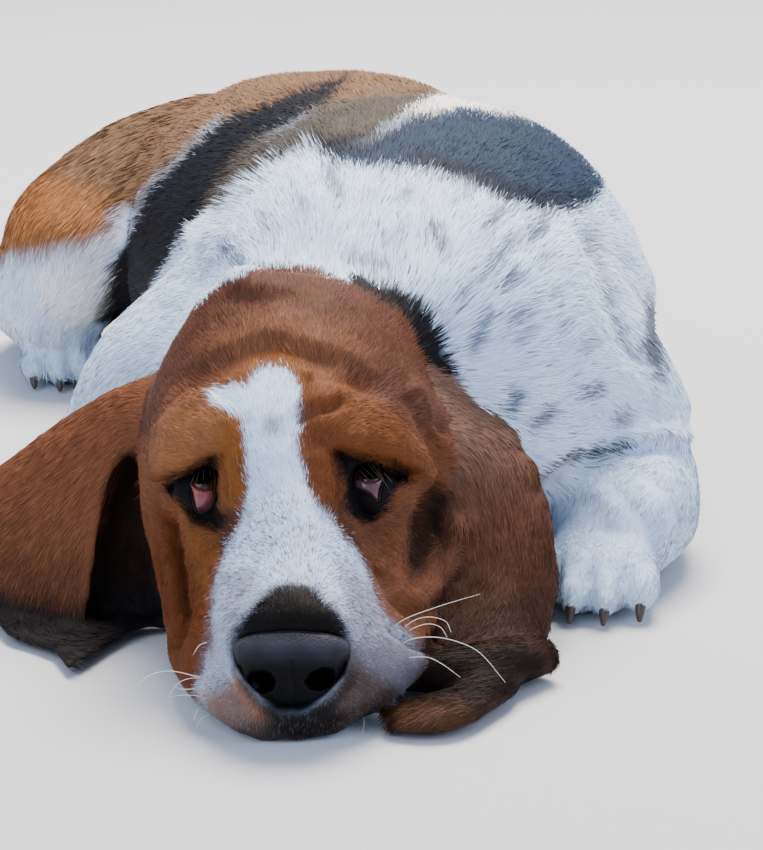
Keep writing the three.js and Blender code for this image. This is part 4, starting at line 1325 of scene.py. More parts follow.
BLAZE = ((207, 397), (213, 389), (221, 386), (236, 388), (248, 384), (254, 372), (264, 367), (275, 365),
         (287, 369), (296, 378), (300, 396), (300, 415), (296, 434), (299, 459), (308, 484), (319, 505),
         (333, 522), (349, 544), (363, 566), (374, 596), (382, 615), (402, 631), (424, 653), (420, 672),
         (400, 702), (380, 722), (342, 748), (298, 756), (262, 754), (229, 744), (206, 722), (196, 690),
         (207, 667), (213, 645), (213, 618), (215, 590), (221, 568), (227, 549), (237, 527), (245, 511),
         (248, 494), (246, 467), (245, 440), (242, 418), (232, 414), (222, 410), (212, 404))
NOSE = ((233, 643), (236, 628), (253, 619), (292, 614), (333, 617), (346, 630), (350, 652), (345, 676),
        (328, 694), (308, 711), (286, 714), (275, 711), (259, 697), (243, 681), (234, 662))
NOSE_BED = ((234, 662), (234, 648), (242, 638), (262, 633), (292, 631), (326, 632), (342, 639), (350, 654),
            (345, 676), (328, 694), (308, 711), (286, 714), (275, 711), (259, 697), (243, 681))
HEAD_PATCHES = (
    Patch(Tone.CROWN, ((120, 230), (470, 230), (480, 380), (440, 440), (397, 420), (356, 383), (317, 362),
        (275, 342), (229, 362), (182, 390), (150, 440), (110, 440)), 14),
    # the right brow in its lit tone: painted light
    Patch(Tone.BROW_LIT, ((153, 440), (168, 410), (207, 402), (232, 425), (228, 442), (193, 470),
        (158, 478)), 10),
    # the left brow in its shaded tone: painted shade
    Patch(Tone.BROW, ((304, 390), (352, 386), (402, 424), (434, 470), (420, 486), (392, 465), (346, 455),
        (322, 430)), 10),
    Patch(Tone.ORANGE, ((221, 420), (240, 420), (246, 450), (247, 490), (238, 512), (226, 505), (219, 470)),
        11, 0.8),
    Patch(Tone.CHEEK, ((301, 430), (320, 424), (338, 450), (340, 500), (332, 515), (318, 500), (304, 470)),
        11, 0.7),
    Patch(Tone.ORANGE, ((250, 362), (276, 346), (300, 356), (312, 374), (300, 392), (262, 364), (250, 380),
        (232, 384)), 7, 0.6),
    Patch(Tone.ORANGE, ((178, 505), (200, 524), (222, 536), (222, 570), (208, 610), (196, 600), (184, 550)),
        12, 0.7),
    Patch(Tone.CHEEK, ((150, 500), (176, 510), (190, 560), (208, 610), (210, 660), (200, 700), (176, 700),
        (150, 600)), 9),
    Patch(Tone.BROWN, ((330, 520), (412, 500), (410, 600), (450, 640), (400, 650), (370, 600)), 12),
    Patch(Tone.DARK_BROWN, ((226, 508), (240, 512), (228, 545), (220, 552), (216, 530)), 6, 0.8),
    Patch(Tone.DARK_BROWN, ((332, 512), (346, 516), (364, 560), (376, 590), (366, 580), (346, 545)), 7, 0.8),
    # painted shade in the hollow between the left cheek and ear
    Patch(Tone.HOLLOW_SHADE, ((438, 478), (448, 502), (442, 535), (426, 566), (411, 588), (406, 560), (408, 520),
        (420, 494)), 8, 0.85),
    Patch(Tone.WHITE, BLAZE, 4),
    Patch(Tone.LILAC, ((200, 680), (214, 620), (222, 570), (262, 575), (240, 620), (236, 680), (262, 712),
        (330, 712), (352, 650), (340, 590), (352, 560), (372, 590), (384, 618), (430, 655), (396, 704),
        (340, 752), (226, 748)), 12, 0.7),
    Patch(Tone.DARK_BROWN, ((262, 421), (270, 417), (280, 421), (283, 432), (273, 438), (263, 433)), 8, 0.6),
    Patch(Tone.DARK_BROWN, ((244, 414), (250, 412), (254, 420), (249, 424)), 5, 0.4),
    Patch(Tone.FLEW, ((352, 645), (420, 645), (428, 660), (396, 704), (350, 742), (298, 752), (262, 750),
        (226, 740), (202, 716), (200, 695), (226, 685), (240, 690), (258, 706), (298, 722), (330, 704)), 12,
        0.85),
    Patch(Tone.FRECKLE, ((200, 690), (226, 684), (246, 706), (268, 722), (258, 744), (226, 738), (204, 716)),
        10, 0.3),
    Patch(Tone.TAN, ((234, 670), (246, 686), (262, 706), (276, 716), (260, 722), (242, 704), (230, 686)), 6,
        0.8),
    Patch(Tone.FLEW, ((352, 660), (346, 680), (328, 698), (310, 714), (320, 720), (340, 704), (358, 684)), 6,
        0.7),
    # the lips and the muzzle's lower edge darker: lip skin, and painted shade along the ground
    Patch(Tone.LIP, ((214, 735), (250, 722), (298, 720), (352, 708), (398, 690), (412, 690), (380, 720),
        (342, 742), (298, 756), (262, 754), (226, 748)), 8, 0.75),
    Patch(Tone.NOSE_HAIR_AND_SHADE, ((232, 646), (238, 618), (256, 598), (272, 586), (292, 579), (314, 585),
        (332, 602), (348, 622), (354, 650), (346, 672), (236, 668)), 9),
    Patch(Tone.NOSE_HAIR_AND_SHADE, NOSE, 7, 0.9),
    Patch(Tone.LIP, ((356, 655), (384, 666), (424, 662), (428, 668), (397, 706), (350, 742), (318, 745),
        (332, 712), (345, 690)), 9, 0.6),
    # painted shade under the nose
    Patch(Tone.NOSE_HAIR_AND_SHADE, ((262, 700), (298, 712), (332, 698), (346, 722), (330, 738), (300, 742),
        (272, 736)), 8, 0.8),
    # painted shade round the nose's lower half
    Patch(Tone.NOSE_HAIR_AND_SHADE, ((232, 668), (243, 681), (259, 697), (275, 711), (286, 714), (308, 711),
        (328, 694), (345, 676), (354, 664), (354, 684), (334, 708), (310, 722), (286, 726), (262, 714),
        (240, 692)), 5, 0.75),
    Patch(Tone.RED, ((449, 500), (470, 505), (466, 560), (440, 612), (412, 608), (424, 580), (440, 550)), 5,
        0.85),
    Patch(Tone.BROW_LIT, ((200, 345), (240, 318), (290, 308), (340, 325), (372, 356), (340, 366), (317, 356),
        (275, 338), (235, 354)), 14, 0.35),
    # greyer on the muzzle's left side, which lies in shade: painted shade
    Patch(Tone.LILAC, ((336, 556), (372, 590), (384, 618), (430, 655), (400, 690), (358, 662), (350, 610)),
        10, 0.5),
    Patch(Tone.WHITE, ((140, 380), (162, 360), (175, 330), (195, 305), (220, 285), (250, 270), (285, 265),
        (320, 270), (350, 282), (350, 220), (120, 220)), 2, behind=True),
    Patch(Tone.BLACK, ((350, 282), (385, 305), (405, 330), (420, 355), (445, 390), (480, 380), (440, 260),
        (350, 230)), 2, behind=True),
)
FLECKS = (
    (226, 246, 243, 272, 8, 0.95), (329, 169, 339, 196, 8, 0.81), (432, 226, 445, 250, 7, 0.81),
    (486, 226, 503, 211, 6, 0.81), (532, 239, 544, 223, 7, 0.95), (496, 258, 510, 240, 7, 0.88),
    (483, 278, 493, 263, 6, 0.74), (503, 288, 517, 273, 7, 0.88), (456, 302, 467, 290, 6, 0.68),
    (479, 328, 487, 316, 6, 0.81), (472, 348, 479, 333, 6, 0.81), (513, 318, 533, 306, 7, 0.81),
    (519, 341, 527, 327, 5, 0.54), (509, 410, 520, 393, 7, 0.95), (532, 424, 550, 412, 7, 0.88),
    (582, 395, 600, 386, 6, 0.94), (615, 421, 627, 415, 6, 0.81), (352, 259, 385, 266, 8, 0.68),
    (429, 169, 455, 179, 7, 0.61), (498, 186, 518, 198, 6, 0.54), (582, 348, 594, 339, 6, 0.47),
    (589, 245, 597, 233, 5, 0.54), (608, 305, 614, 293, 5, 0.47), (386, 169, 398, 160, 6, 0.68),
    (387, 245, 404, 233, 6, 0.47), (204, 277, 214, 262, 6, 0.54), (600, 196, 612, 208, 5, 0.41),
    (455, 200, 470, 192, 5, 0.54), (540, 262, 550, 250, 5, 0.47), (548, 300, 560, 288, 5, 0.41),
    (560, 330, 572, 320, 5, 0.41), (620, 250, 628, 262, 5, 0.41), (300, 200, 306, 214, 6, 0.41),
    (262, 216, 268, 232, 6, 0.47), (402, 200, 412, 190, 6, 0.54), (360, 200, 372, 192, 5, 0.41),
)  # dark flecks in the white coat: both ends and half width in pixels, and strength
CREASES = (
    (((536, 483), (553, 467), (577, 455), (610, 448), (653, 446), (673, 448), (687, 457), (693, 473),
        (697, 487)), 4.5, 1.0),
    (((600, 462), (622, 500), (632, 545)), 8, 0.3),
    (((640, 462), (670, 493), (678, 525)), 8, 0.45),
    (((660, 513), (668, 550)), 9, 0.4),
    (((584, 232), (600, 268), (612, 300), (618, 335), (636, 360)), 6, 0.4),
)  # shade in the folds of the white skin: line and half width in pixels, and strength
FRECKLES = ((672, 437), (589, 476), (587, 496), (555, 510), (557, 479), (623, 419), (574, 570), (600, 574),
            (657, 591), (640, 470), (664, 500), (610, 520), (630, 552), (596, 540), (575, 540), (648, 575),
            (560, 585), (616, 596), (585, 604), (680, 480), (684, 520), (632, 505))
FRECKLE_REACH = 6  # in pixels
EAR_HOLLOW_SHADE = (
    ((118, 455), (150, 440), (162, 500), (166, 560), (176, 640), (86, 640), (88, 590), (98, 532),
        (108, 493)),
    ((437, 474), (449, 496), (448, 522), (438, 548), (425, 570), (412, 590), (400, 560), (410, 500)),
)  # painted shade between ears and cheeks
EAR_ROLL = ((432, 650), (470, 645), (520, 640), (548, 655), (530, 690), (480, 702), (440, 698), (420, 690))
EAR_TIP = ((392, 714), (420, 704), (462, 700), (480, 720), (474, 740), (436, 744), (396, 738))
ROAN = (
    (((212, 560), (240, 515), (262, 490), (300, 495), (335, 520), (360, 560), (378, 600), (408, 632),
        (430, 655), (384, 660), (356, 640), (340, 600), (300, 575), (262, 580), (240, 610), (226, 640)),
        0.6),
    (((236, 540), (262, 520), (300, 540), (345, 556), (352, 590), (300, 566), (250, 580), (222, 600)), 0.62),
    (((228, 610), (248, 582), (290, 566), (330, 580), (360, 618), (362, 650), (330, 600), (292, 576),
        (250, 596)), 0.8),
    (((200, 686), (232, 660), (262, 712), (340, 712), (356, 640), (400, 632), (432, 655), (360, 745),
        (298, 756), (226, 748)), 0.8),
)  # where dark hairs are mixed into the white ones of the muzzle, and their share
BODY_PATCHES = (
    Patch(Tone.RUMP, ((0, 40), (490, 40), (486, 98), (440, 98), (400, 108), (306, 114), (217, 124),
        (179, 162), (150, 187), (138, 208), (112, 210), (60, 205), (0, 230)), 8, behind=True),
    Patch(Tone.TAN, ((-60, 190), (40, 170), (120, 200), (112, 236), (70, 250), (0, 262), (-60, 280)), 16,
        behind=True),
    Patch(Tone.BLACK, ((217, 124), (300, 90), (352, 74), (330, 104), (306, 116), (255, 146), (230, 188),
        (222, 202), (204, 218), (184, 236), (163, 272), (150, 295), (133, 320), (105, 348), (94, 352),
        (92, 330), (99, 302), (112, 264), (128, 234), (138, 208), (150, 187), (179, 162)), 5, behind=True),
    Patch(Tone.BLACK, ((213, 205), (233, 172), (253, 150), (283, 140), (330, 120), (370, 118), (388, 128),
        (365, 146), (329, 157), (309, 156), (281, 168), (255, 190), (228, 214)), 5),
    Patch(Tone.OLIVE, ((208, 196), (228, 164), (252, 142), (283, 128), (322, 106), (370, 96), (420, 92),
        (460, 94), (420, 108), (392, 126), (366, 136), (330, 142), (286, 156), (252, 178), (224, 212),
        (204, 216)), 7),
    # painted highlight where light falls on the top of the back
    Patch(Tone.SUNLIT_CREAM, ((400, 114), (440, 96), (477, 88), (520, 98), (526, 120), (504, 114), (465, 108),
        (420, 118)), 3),
    # the thigh at the left edge drawn part way to the same painted-light cream
    Patch(Tone.SUNLIT_CREAM, ((-60, 270), (20, 284), (60, 262), (112, 240), (104, 300), (92, 330), (60, 360),
        (-60, 360)), 12, 0.6),
    # the black saddle in its blue-grey sheen: painted sheen
    Patch(Tone.SADDLE_SHEEN, ((326, 152), (365, 146), (386, 136), (418, 116), (460, 108), (506, 113), (545, 120),
        (582, 146), (606, 182), (594, 203), (566, 211), (540, 212), (511, 203), (478, 188), (440, 175),
        (412, 170), (374, 170), (336, 166)), 5),
    Patch(Tone.BLACK, ((412, 172), (440, 177), (478, 190), (511, 205), (540, 214), (566, 213), (594, 205),
        (592, 190), (560, 194), (530, 188), (500, 178), (470, 166), (440, 156), (412, 154)), 6, 0.6),
    Patch(Tone.BLACK, ((320, 150), (365, 142), (386, 132), (416, 112), (424, 118), (392, 142), (366, 154),
        (330, 160)), 4, 0.7),
    Patch(Tone.BLACK, ((352, 274), (389, 283), (418, 298), (439, 322), (451, 352), (460, 387), (470, 418),
        (440, 420), (400, 350), (350, 290)), 4),
    Patch(Tone.BLACK, ((646, 292), (660, 300), (664, 380), (650, 378), (640, 346)), 5, 0.8),
)


class Markings:
    """The coat's colours as a function of place, the same for skin and hair, with some light and shade
    painted in.
    """

    def head(self, points: np.ndarray, pixels: np.ndarray, facing: np.ndarray) -> np.ndarray:
        """Red-brown head with a white blaze and muzzle, dark lids and a dark patch over the nose, with
        painted shade in the eye sockets, under the nose, along the chin and in the hollow by the left ear,
        and the brows in a lit and a shaded tone.
        """
        colour = np.tile(linear(Tone.BROWN.value), (len(points), 1))
        under = rise(-points[:, 2], -34, -16) * rise(-points[:, 1], -150, -60)
        colour = mixed(colour, Tone.WHITE, under * (1 - facing))
        shown = facing * rise(-points[:, 1], -255, -245)
        far = np.maximum(rise(points[:, 1], 182, 196), rise(points[:, 2], 156, 164))
        for patch in HEAD_PATCHES:
            share = shown * rise(inside(pixels, patch.outline), -patch.soft, patch.soft) * patch.share
            colour = mixed(colour, patch.tone, share * far if patch.behind else share)
        # black lid skin and the painted shade in the socket under the brow
        for eye in EYES:
            dark = np.maximum(rise(inside(pixels, eye.rim), -5, 3),
                              rise(inside(pixels, eye.opening), -5, -1))
            colour = mixed(colour, Tone.LID, shown * dark * (points[:, 1] < FACE_BACK))
        return colour

    def ears(self, points: np.ndarray, pixels: np.ndarray, facing: np.ndarray,
             left: np.ndarray) -> np.ndarray:
        """Red-brown outside, darker towards the tips, with painted shade over the left ear's lower part, at
        its rolled hem and in the hollows by the cheeks, a painted highlight on its top, and near black low
        on the right ear by the ground.
        """
        low = rise(-points[:, 2], -70, -16)
        colour = np.where(left[:, None], linear(Tone.RED.value), linear(Tone.BROWN.value))
        streak = 0.5 + 0.5 * noise(points * [1, 1, 0.35], 14, 5)
        colour = mixed(colour, Tone.DARK_BROWN, 0.95 * low * (0.6 + 0.4 * streak) * np.where(left, 1.0, 0.7))
        # painted shade over the left ear's lower part
        colour = mixed(colour, Tone.HOLLOW_SHADE, 0.6 * left * low)
        # painted shade under the left ear's rolled hem
        colour = mixed(colour, Tone.HOLLOW_SHADE, 0.8 * left * rise(inside(pixels, EAR_ROLL), -6, 6))
        colour = mixed(colour, Tone.TAN, 0.12 * left * rise(inside(pixels, EAR_TIP), -6, 6))
        # painted light: the left ear paler towards its top
        colour = mixed(colour, Tone.EAR_TOP_LIT, 0.8 * left * rise(points[:, 2], 60, 112))
        # painted shade in the hollows between ears and cheeks
        for outline in EAR_HOLLOW_SHADE:
            share = 0.9 * rise(inside(pixels, outline), -8, 8) * facing
            colour = mixed(colour, Tone.HOLLOW_SHADE, share * (left | (points[:, 1] > 158)))
        # near black low on the right ear by the ground: its dark inner skin, with painted shadow over it
        floor = rise(-points[:, 2], -24, -12) * rise(-points[:, 1], -176, -168) * ~left
        colour = mixed(colour, Tone.BLACK, 0.95 * floor)
        return colour

    def body(self, points: np.ndarray, pixels: np.ndarray, facing: np.ndarray,
             label: np.ndarray) -> np.ndarray:
        """White fore half, black saddle and flank, brown rump, tan thighs, white legs and tail tip, with the
        saddle painted in its blue-grey sheen, a painted highlight on the top of the back and painted shade
        in the creases.

        What is drawn shows where the camera sees the body, apart from the lower legs, which are white.
        """
        x, y, z = points.T
        wave = noise(points, 60, 3) * 26 + noise(points, 18, 4) * 8
        hidden = np.tile(linear(Tone.WHITE.value), (len(points), 1))
        legs = is_in(label, LOWER_LEGS)
        arms = is_in(label, ARMS)
        thigh = is_in(label, (Part.THIGH_LEFT, Part.THIGH_RIGHT))
        dark = rise(y + wave, 400, 425) * rise(z + wave * 0.5, 34, 60) * ~legs * ~arms
        dark = np.maximum(dark, is_in(label, (Part.TAIL,)))
        hidden = mixed(hidden, Tone.BLACK, dark)
        hidden = mixed(hidden, Tone.RUMP, dark * rise(y + wave, 600, 660))
        hidden = mixed(hidden, Tone.TAN, thigh * rise(z + wave, 40, 70) * rise(-z + wave, -110, -70))
        hidden = mixed(hidden, Tone.WHITE, is_in(label, (Part.TAIL,)) * rise(-x, 70, 110))
        shown = np.tile(linear(Tone.WHITE.value), (len(points), 1))
        for patch in BODY_PATCHES:
            share = rise(inside(pixels, patch.outline), -patch.soft, patch.soft) * patch.share
            shown = mixed(shown, patch.tone, share * ~is_in(label, FORE) if patch.behind else share)
        white = rise(shown.min(axis=1), 0.4, 0.6)
        for *ends, wide, strength in FLECKS:
            distance, _, _ = to_line(pixels, (ends[:2], ends[2:]))
            shown = mixed(shown, Tone.TICK, white * strength * np.exp(-(distance / wide) ** 2))
        for line, wide, strength in CREASES:
            distance, _, _ = to_line(pixels, line)
            shown = mixed(shown, Tone.SHADE, white * strength * np.exp(-(distance / wide) ** 2))
        for freckle in FRECKLES:
            away = (pixels - freckle) / FRECKLE_REACH
            shown = mixed(shown, Tone.FRECKLE, 0.55 * np.exp(-dot(away, away)))
        front = (facing * ~legs)[:, None]
        return hidden * (1 - front) + shown * front

    def roan(self, points: np.ndarray, label: np.ndarray) -> np.ndarray:
        """The share of dark hairs among the white: high on the muzzle's sides, low on the body."""
        pixels = VIEW.pixels(points)
        share = np.full(len(points), 0.03)
        muzzle = (label == Part.HEAD.value) & (points[:, 1] < 110)
        for outline, most in ROAN:
            share = np.maximum(share, most * rise(inside(pixels, outline), -8, 12) * muzzle)
        return share * np.where(muzzle, 0.75 + 0.5 * noise(points, 4, 35), 1)

    def paint(self, points: np.ndarray, normals: np.ndarray, label: np.ndarray) -> np.ndarray:
        """Linear colours for points of the skin.

        Args:
            points: places in mm, (n, 3).
            normals: outward directions there.
            label: the parts that they belong to.
        Returns:
            Red, green and blue, (n, 3).
        """
        pixels = VIEW.pixels(points)
        pixels = pixels + 3 * np.stack([noise(points, 7, 11), noise(points, 7, 12)], axis=1)
        facing = rise(VIEW.faces(points, normals), -0.05, 0.1)
        colour = np.empty((len(points), 3))
        head = label == Part.HEAD.value
        ear = is_in(label, EARS)
        body = ~head & ~ear
        colour[head] = self.head(points[head], pixels[head], facing[head])
        colour[ear] = self.ears(points[ear], pixels[ear], facing[ear], label[ear] == Part.EAR_LEFT.value)
        seen = rise(VIEW.faces(points, normals), -0.2, -0.05)
        colour[body] = self.body(points[body], pixels[body], seen[body], label[body])
        return colour


def mixed(colour: np.ndarray, tone: Tone, share: np.ndarray) -> np.ndarray:
    """Colours drawn towards a tone by a share from 0 to 1."""
    return colour + (linear(tone.value) - colour) * share[:, None]


# Finishes

def node(tree: bpy.types.NodeTree, kind: str, links: dict | None = None,
         **settings: object) -> bpy.types.Node:
    """Adds a node with its settings: values of its inputs, or its properties where none is so named.

    Args:
        tree: the node tree.
        kind: the node's type.
        links: socket name of this node to an output socket.
        settings: properties, and inputs by name with spaces as underscores.
    Returns:
        The node.
    """
    made = tree.nodes.new(kind)
    for key, value in settings.items():
        name = key.replace("_", " ")
        socket = next((s for s in made.inputs if s.name == name), None)
        if socket is None:
            setattr(made, key, value)
        else:
            socket.default_value = value
    for name, source in (links or {}).items():
        tree.links.new(source, made.inputs[name])
    return made


def toned(name: str, texture: str, height: str, values: dict[str, float], bump: tuple[float, float],
          **shading: float) -> bpy.types.Material:
    """A material whose tone comes from the piece's colours, with fine relief from one texture.

    Args:
        name: the material's name.
        texture: the texture node's type.
        height: the name of its output that gives the height.
        values: its inputs.
        bump: the relief's strength, and its height in metres.
        shading: the shader's inputs.
    Returns:
        The material.
    """
    material = bpy.data.materials.new(name)
    material.use_nodes = True
    tree = material.node_tree
    tree.nodes.clear()
    tone = node(tree, "ShaderNodeAttribute", attribute_name="tone")
    place = node(tree, "ShaderNodeTexCoord")
    grain = node(tree, texture, {"Vector": place.outputs["Object"]}, **values)
    relief = node(tree, "ShaderNodeBump", {"Height": grain.outputs[height]}, Strength=bump[0],
                  Distance=bump[1])
    shader = node(tree, "ShaderNodeBsdfPrincipled",
                  {"Base Color": tone.outputs["Color"], "Normal": relief.outputs["Normal"]}, **shading)
    node(tree, "ShaderNodeOutputMaterial", {"Surface": shader.outputs["BSDF"]})
    return material


@dataclass(frozen=True)
class Hair:
    """Short dog hair: keratin shafts lying flat, satin, with a fine grain along their surface."""

    name: str = "short_hair_satin"
    roughness: float = 0.6
    specular: float = 0.08

    def build(self) -> bpy.types.Material:
        """The material."""
        return toned(self.name, "ShaderNodeTexNoise", "Fac", {"Scale": 900.0, "Detail": 2.0},
                     (0.25, 0.0004), Roughness=self.roughness, IOR=1.45,
                     Specular_IOR_Level=self.specular)


@dataclass(frozen=True)
class Wet:
    """A smooth moist surface, such as a cornea or the inner lid: cells of a size, and a clear gloss."""

    name: str
    roughness: float
    coat: float
    grain_mm: float
    relief: float
    specular: float = 0.5

    def build(self) -> bpy.types.Material:
        """The material."""
        return toned(self.name, "ShaderNodeTexVoronoi", "Distance", {"Scale": 1 / (self.grain_mm * MM)},
                     (self.relief, 0.0006), Roughness=self.roughness, Coat_Weight=self.coat,
                     Coat_Roughness=0.08, IOR=1.4, Specular_IOR_Level=self.specular)


def give_tone(piece: bpy.types.Object, colour: np.ndarray) -> None:
    """Stores linear colours of the vertices in the attribute that the finishes read."""
    attribute = piece.data.color_attributes.new("tone", "FLOAT_COLOR", "POINT")
    rgba = np.concatenate([colour, np.ones((len(colour), 1))], axis=1)
    attribute.data.foreach_set("color", rgba.astype(np.float32).ravel())


def settle(piece: bpy.types.Object, material: bpy.types.Material, slot: str, *nodes: str) -> None:
    """Dresses a piece, hangs it on the body and hides the solids that it stands for; the slot is not used.
    """
    piece.data.materials.append(material)
    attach(piece, BODY)
    if nodes:
        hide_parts(*nodes)


class Area(Enum):
    """The share of its parts that a piece of the coat covers."""

    ALL = "all of them"
    FACE = "what faces the camera ahead of FACE_END_Y"
    SKULL = "the rest of the head"
    FRONT = "ahead of TRUNK_PARTING_Y"
    REAR = "behind it"


@dataclass(frozen=True)
class Lock:
    """How the hair grows on a region: how many tufts, and their size in mm and stand in radians."""

    name: str
    slot: str
    parts: tuple[Part, ...]
    count: int
    length: float
    width: float
    stand: float
    area: Area = Area.ALL


HIND = (Part.THIGH_LEFT, Part.THIGH_RIGHT, Part.SHANK_LEFT, Part.SHANK_RIGHT, Part.HINDPAW_LEFT,
        Part.HINDPAW_RIGHT, Part.TAIL)
LOCKS = (
    Lock("coat_face", "coat_brown", (Part.HEAD,), 62000, 4.8, 0.34, 0.13, Area.FACE),
    Lock("coat_skull", "coat_brown", (Part.HEAD,), 52000, 6.4, 0.42, 0.11, Area.SKULL),
    Lock("coat_ear_right", "coat_brown", (Part.EAR_RIGHT,), 52000, 8.0, 0.42, 0.09),
    Lock("coat_ear_left", "coat_brown", (Part.EAR_LEFT,), 52000, 8.0, 0.42, 0.09),
    Lock("coat_neck", "coat_white", (Part.NECK, *ARMS), 65000, 10.5, 0.6, 0.12),
    Lock("coat_trunk_front", "coat_white", (Part.TRUNK,), 62000, 11.0, 0.7, 0.12, Area.FRONT),
    Lock("coat_trunk_rear", "coat_black", (Part.TRUNK,), 48000, 12.0, 0.8, 0.12, Area.REAR),
    Lock("coat_forelegs", "coat_white", FORELEGS, 48000, 6.0, 0.46, 0.11),
    Lock("coat_hind_legs", "coat_tan", HIND, 52000, 9.0, 0.65, 0.12),
)
WITHERS = ((320, 146), (301, 152), (279, 163), (253, 185), (228, 208), (208, 228))  # hair stands here
WITHERS_AT, WITHERS_REACH = np.array([10, 330, 205]), np.array([90, 70, 40])
HALF_ROOT, HALF_MIDDLE = 0.45, 0.42  # a tuft's half widths at its root and its middle, of its width
FACE_END_Y = 112  # where the skull's longer hair takes over from the face's
TRUNK_PARTING_Y = 470  # where the trunk's coat is divided into two pieces


class Coat:
    """Hair as tufts: narrow blades of three triangles rooted in the skin, laid along it."""

    sink = 0.024  # how deep a root sits, as a share of the tuft
    patch = 0.003  # side of a tuft's place on the bake map
    lowest = 0.15  # how far above the ground every tuft stays
    painted_shading = np.array([0.7, 0.7, 0.98, 0.98, 1.14])  # brightness of a tuft's points from its root to its tip: painted shade at the root, lighter towards the tip

    def __init__(self, skin: Surface, markings: Markings, material: bpy.types.Material) -> None:
        """Takes the finished skin, its colours and the hair's finish."""
        self.skin = skin
        self.markings = markings
        self.material = material
        self.random = np.random.default_rng(7)

    def roots(self, lock: Lock) -> Arrays:
        """Random places on the lock's part of the skin, evenly by area, thicker on the face."""
        skin = self.skin
        owner = skin.label[skin.triangles[:, 0]]
        middle = skin.points[skin.triangles].mean(axis=1)
        normal = skin.normal[skin.triangles].mean(axis=1)
        weight = skin.areas() * is_in(owner, lock.parts)
        if lock.area is Area.FRONT:
            weight *= middle[:, 1] < TRUNK_PARTING_Y
        if lock.area is Area.REAR:
            weight *= middle[:, 1] >= TRUNK_PARTING_Y
        if lock.area in (Area.FACE, Area.SKULL):
            facing = VIEW.faces(middle, normal) > 0
            front = facing & (middle[:, 1] < FACE_END_Y + 8 * noise(middle, 12, 24))
            weight *= front if lock.area is Area.FACE else ~front
            weight *= 1 + 1.5 * facing
        weight *= 1 - 0.95 * ((middle[:, 2] < 6) & (normal[:, 2] < -0.6))
        for eye in EYES:
            weight *= inside(VIEW.pixels(middle), eye.opening) < -2.5
        total = np.cumsum(weight)
        triangle = np.searchsorted(total, self.random.random(lock.count) * total[-1])
        a, b = self.random.random((2, lock.count))
        flip = a + b > 1
        a, b = np.where(flip, 1 - a, a), np.where(flip, 1 - b, b)
        share = np.stack([1 - a - b, a, b], axis=1)[..., None]
        corner = skin.triangles[triangle]
        place = (skin.points[corner] * share).sum(axis=1)
        normal = unit((skin.normal[corner] * share).sum(axis=1))
        lie = (skin.lie[corner] * share).sum(axis=1)
        return place, normal, lie, corner[:, 0]

    def sizes(self, lock: Lock, place: np.ndarray, label: np.ndarray) -> Arrays:
        """Length, width and stand of each tuft, shorter on muzzle and paws, standing at the withers."""
        count = len(place)
        small = rise(-place[:, 1], -120, -20) * (label == Part.HEAD.value)
        small = np.maximum(small, 0.35 * is_in(label, PAWS))
        length = lock.length * (1 - 0.45 * small) * (1 - 0.4 * is_in(label, ARMS))
        width = lock.width * (1 - 0.25 * small)
        clump = noise(place, 16, 21)
        away = (place - WITHERS_AT) / WITHERS_REACH
        withers = np.exp(-dot(away, away))
        distance, side, _ = to_line(VIEW.pixels(place), WITHERS)
        withers = np.maximum(0.25 * withers, np.exp(-((distance * side + 5) / 8) ** 2))
        withers *= is_in(label, (Part.TRUNK, Part.NECK, *ARMS)) * (place[:, 2] > 60)
        length = length * (1 + 0.18 * clump) * self.random.uniform(0.75, 1.2, count) * (1 + 0.8 * withers)
        stand = lock.stand * (1 + 0.5 * small + 0.5 * noise(place, 11, 22)) + 0.5 * withers
        stand = stand + self.random.normal(0, 0.04, count)
        return length, width * self.random.uniform(0.8, 1.2, count), np.maximum(stand, 0.02)

    def build(self, lock: Lock) -> bpy.types.Object:
        """One piece of the coat: every tuft runs from its root along the lie, rising, then bent back.

        Its middle is at 0.5 and its tip at 1 of its length along the lie. A point at a run along it
        rises by run sin(stand), less bend run^2 for the skin that falls away under it, with bend half
        the skin's curvature, and less the depth of its root.
        """
        skin = self.skin
        place, normal, lie, corner = self.roots(lock)
        label = skin.label[corner]
        length, width, stand = self.sizes(lock, place, label)
        swirl = 0.28 * noise(place, 22, 23) + self.random.normal(0, 0.12, len(place))
        lie = Skin.tangent(lie, normal)
        side = np.cross(normal, lie)
        along = unit(lie * np.cos(swirl)[:, None] + side * np.sin(swirl)[:, None])
        side = unit(np.cross(normal, along))
        roll = self.random.normal(0, 0.35, len(place))
        side = side * np.cos(roll)[:, None] + normal * np.sin(roll)[:, None]
        bend = np.clip(skin.bend[corner] / 2, -0.02, 0.06)

        def at(run: np.ndarray) -> np.ndarray:
            """The tuft's middle line at a run along it."""
            rises = run * np.sin(stand) - bend * run ** 2 - self.sink * length
            return place + along * (run * np.cos(stand))[:, None] + normal * rises[:, None]

        points = np.stack([
            at(length * 0) - side * (width * HALF_ROOT)[:, None],
            at(length * 0) + side * (width * HALF_ROOT)[:, None],
            at(length * 0.5) - side * (width * HALF_MIDDLE)[:, None],
            at(length * 0.5) + side * (width * HALF_MIDDLE)[:, None],
            at(length),
        ], axis=1)
        points[..., 2] = np.maximum(points[..., 2], self.lowest)
        triangles = np.array([[0, 3, 1], [0, 2, 3], [2, 4, 3]])
        faces = (np.arange(len(place))[:, None, None] * 5 + triangles).reshape(-1, 3)
        piece = mesh_piece(lock.name, points.reshape(-1, 3), [faces])
        self.colour(piece, place + along * (0.45 * length)[:, None], normal, label)
        self.map(piece, corner, triangles)
        tilt = unit(normal + side * self.random.normal(0, 0.16, len(place))[:, None]
                    + along * self.random.normal(0, 0.1, len(place))[:, None])
        piece.data.normals_split_custom_set_from_vertices(np.repeat(tilt, 5, axis=0))
        settle(piece, self.material, lock.slot)
        return piece

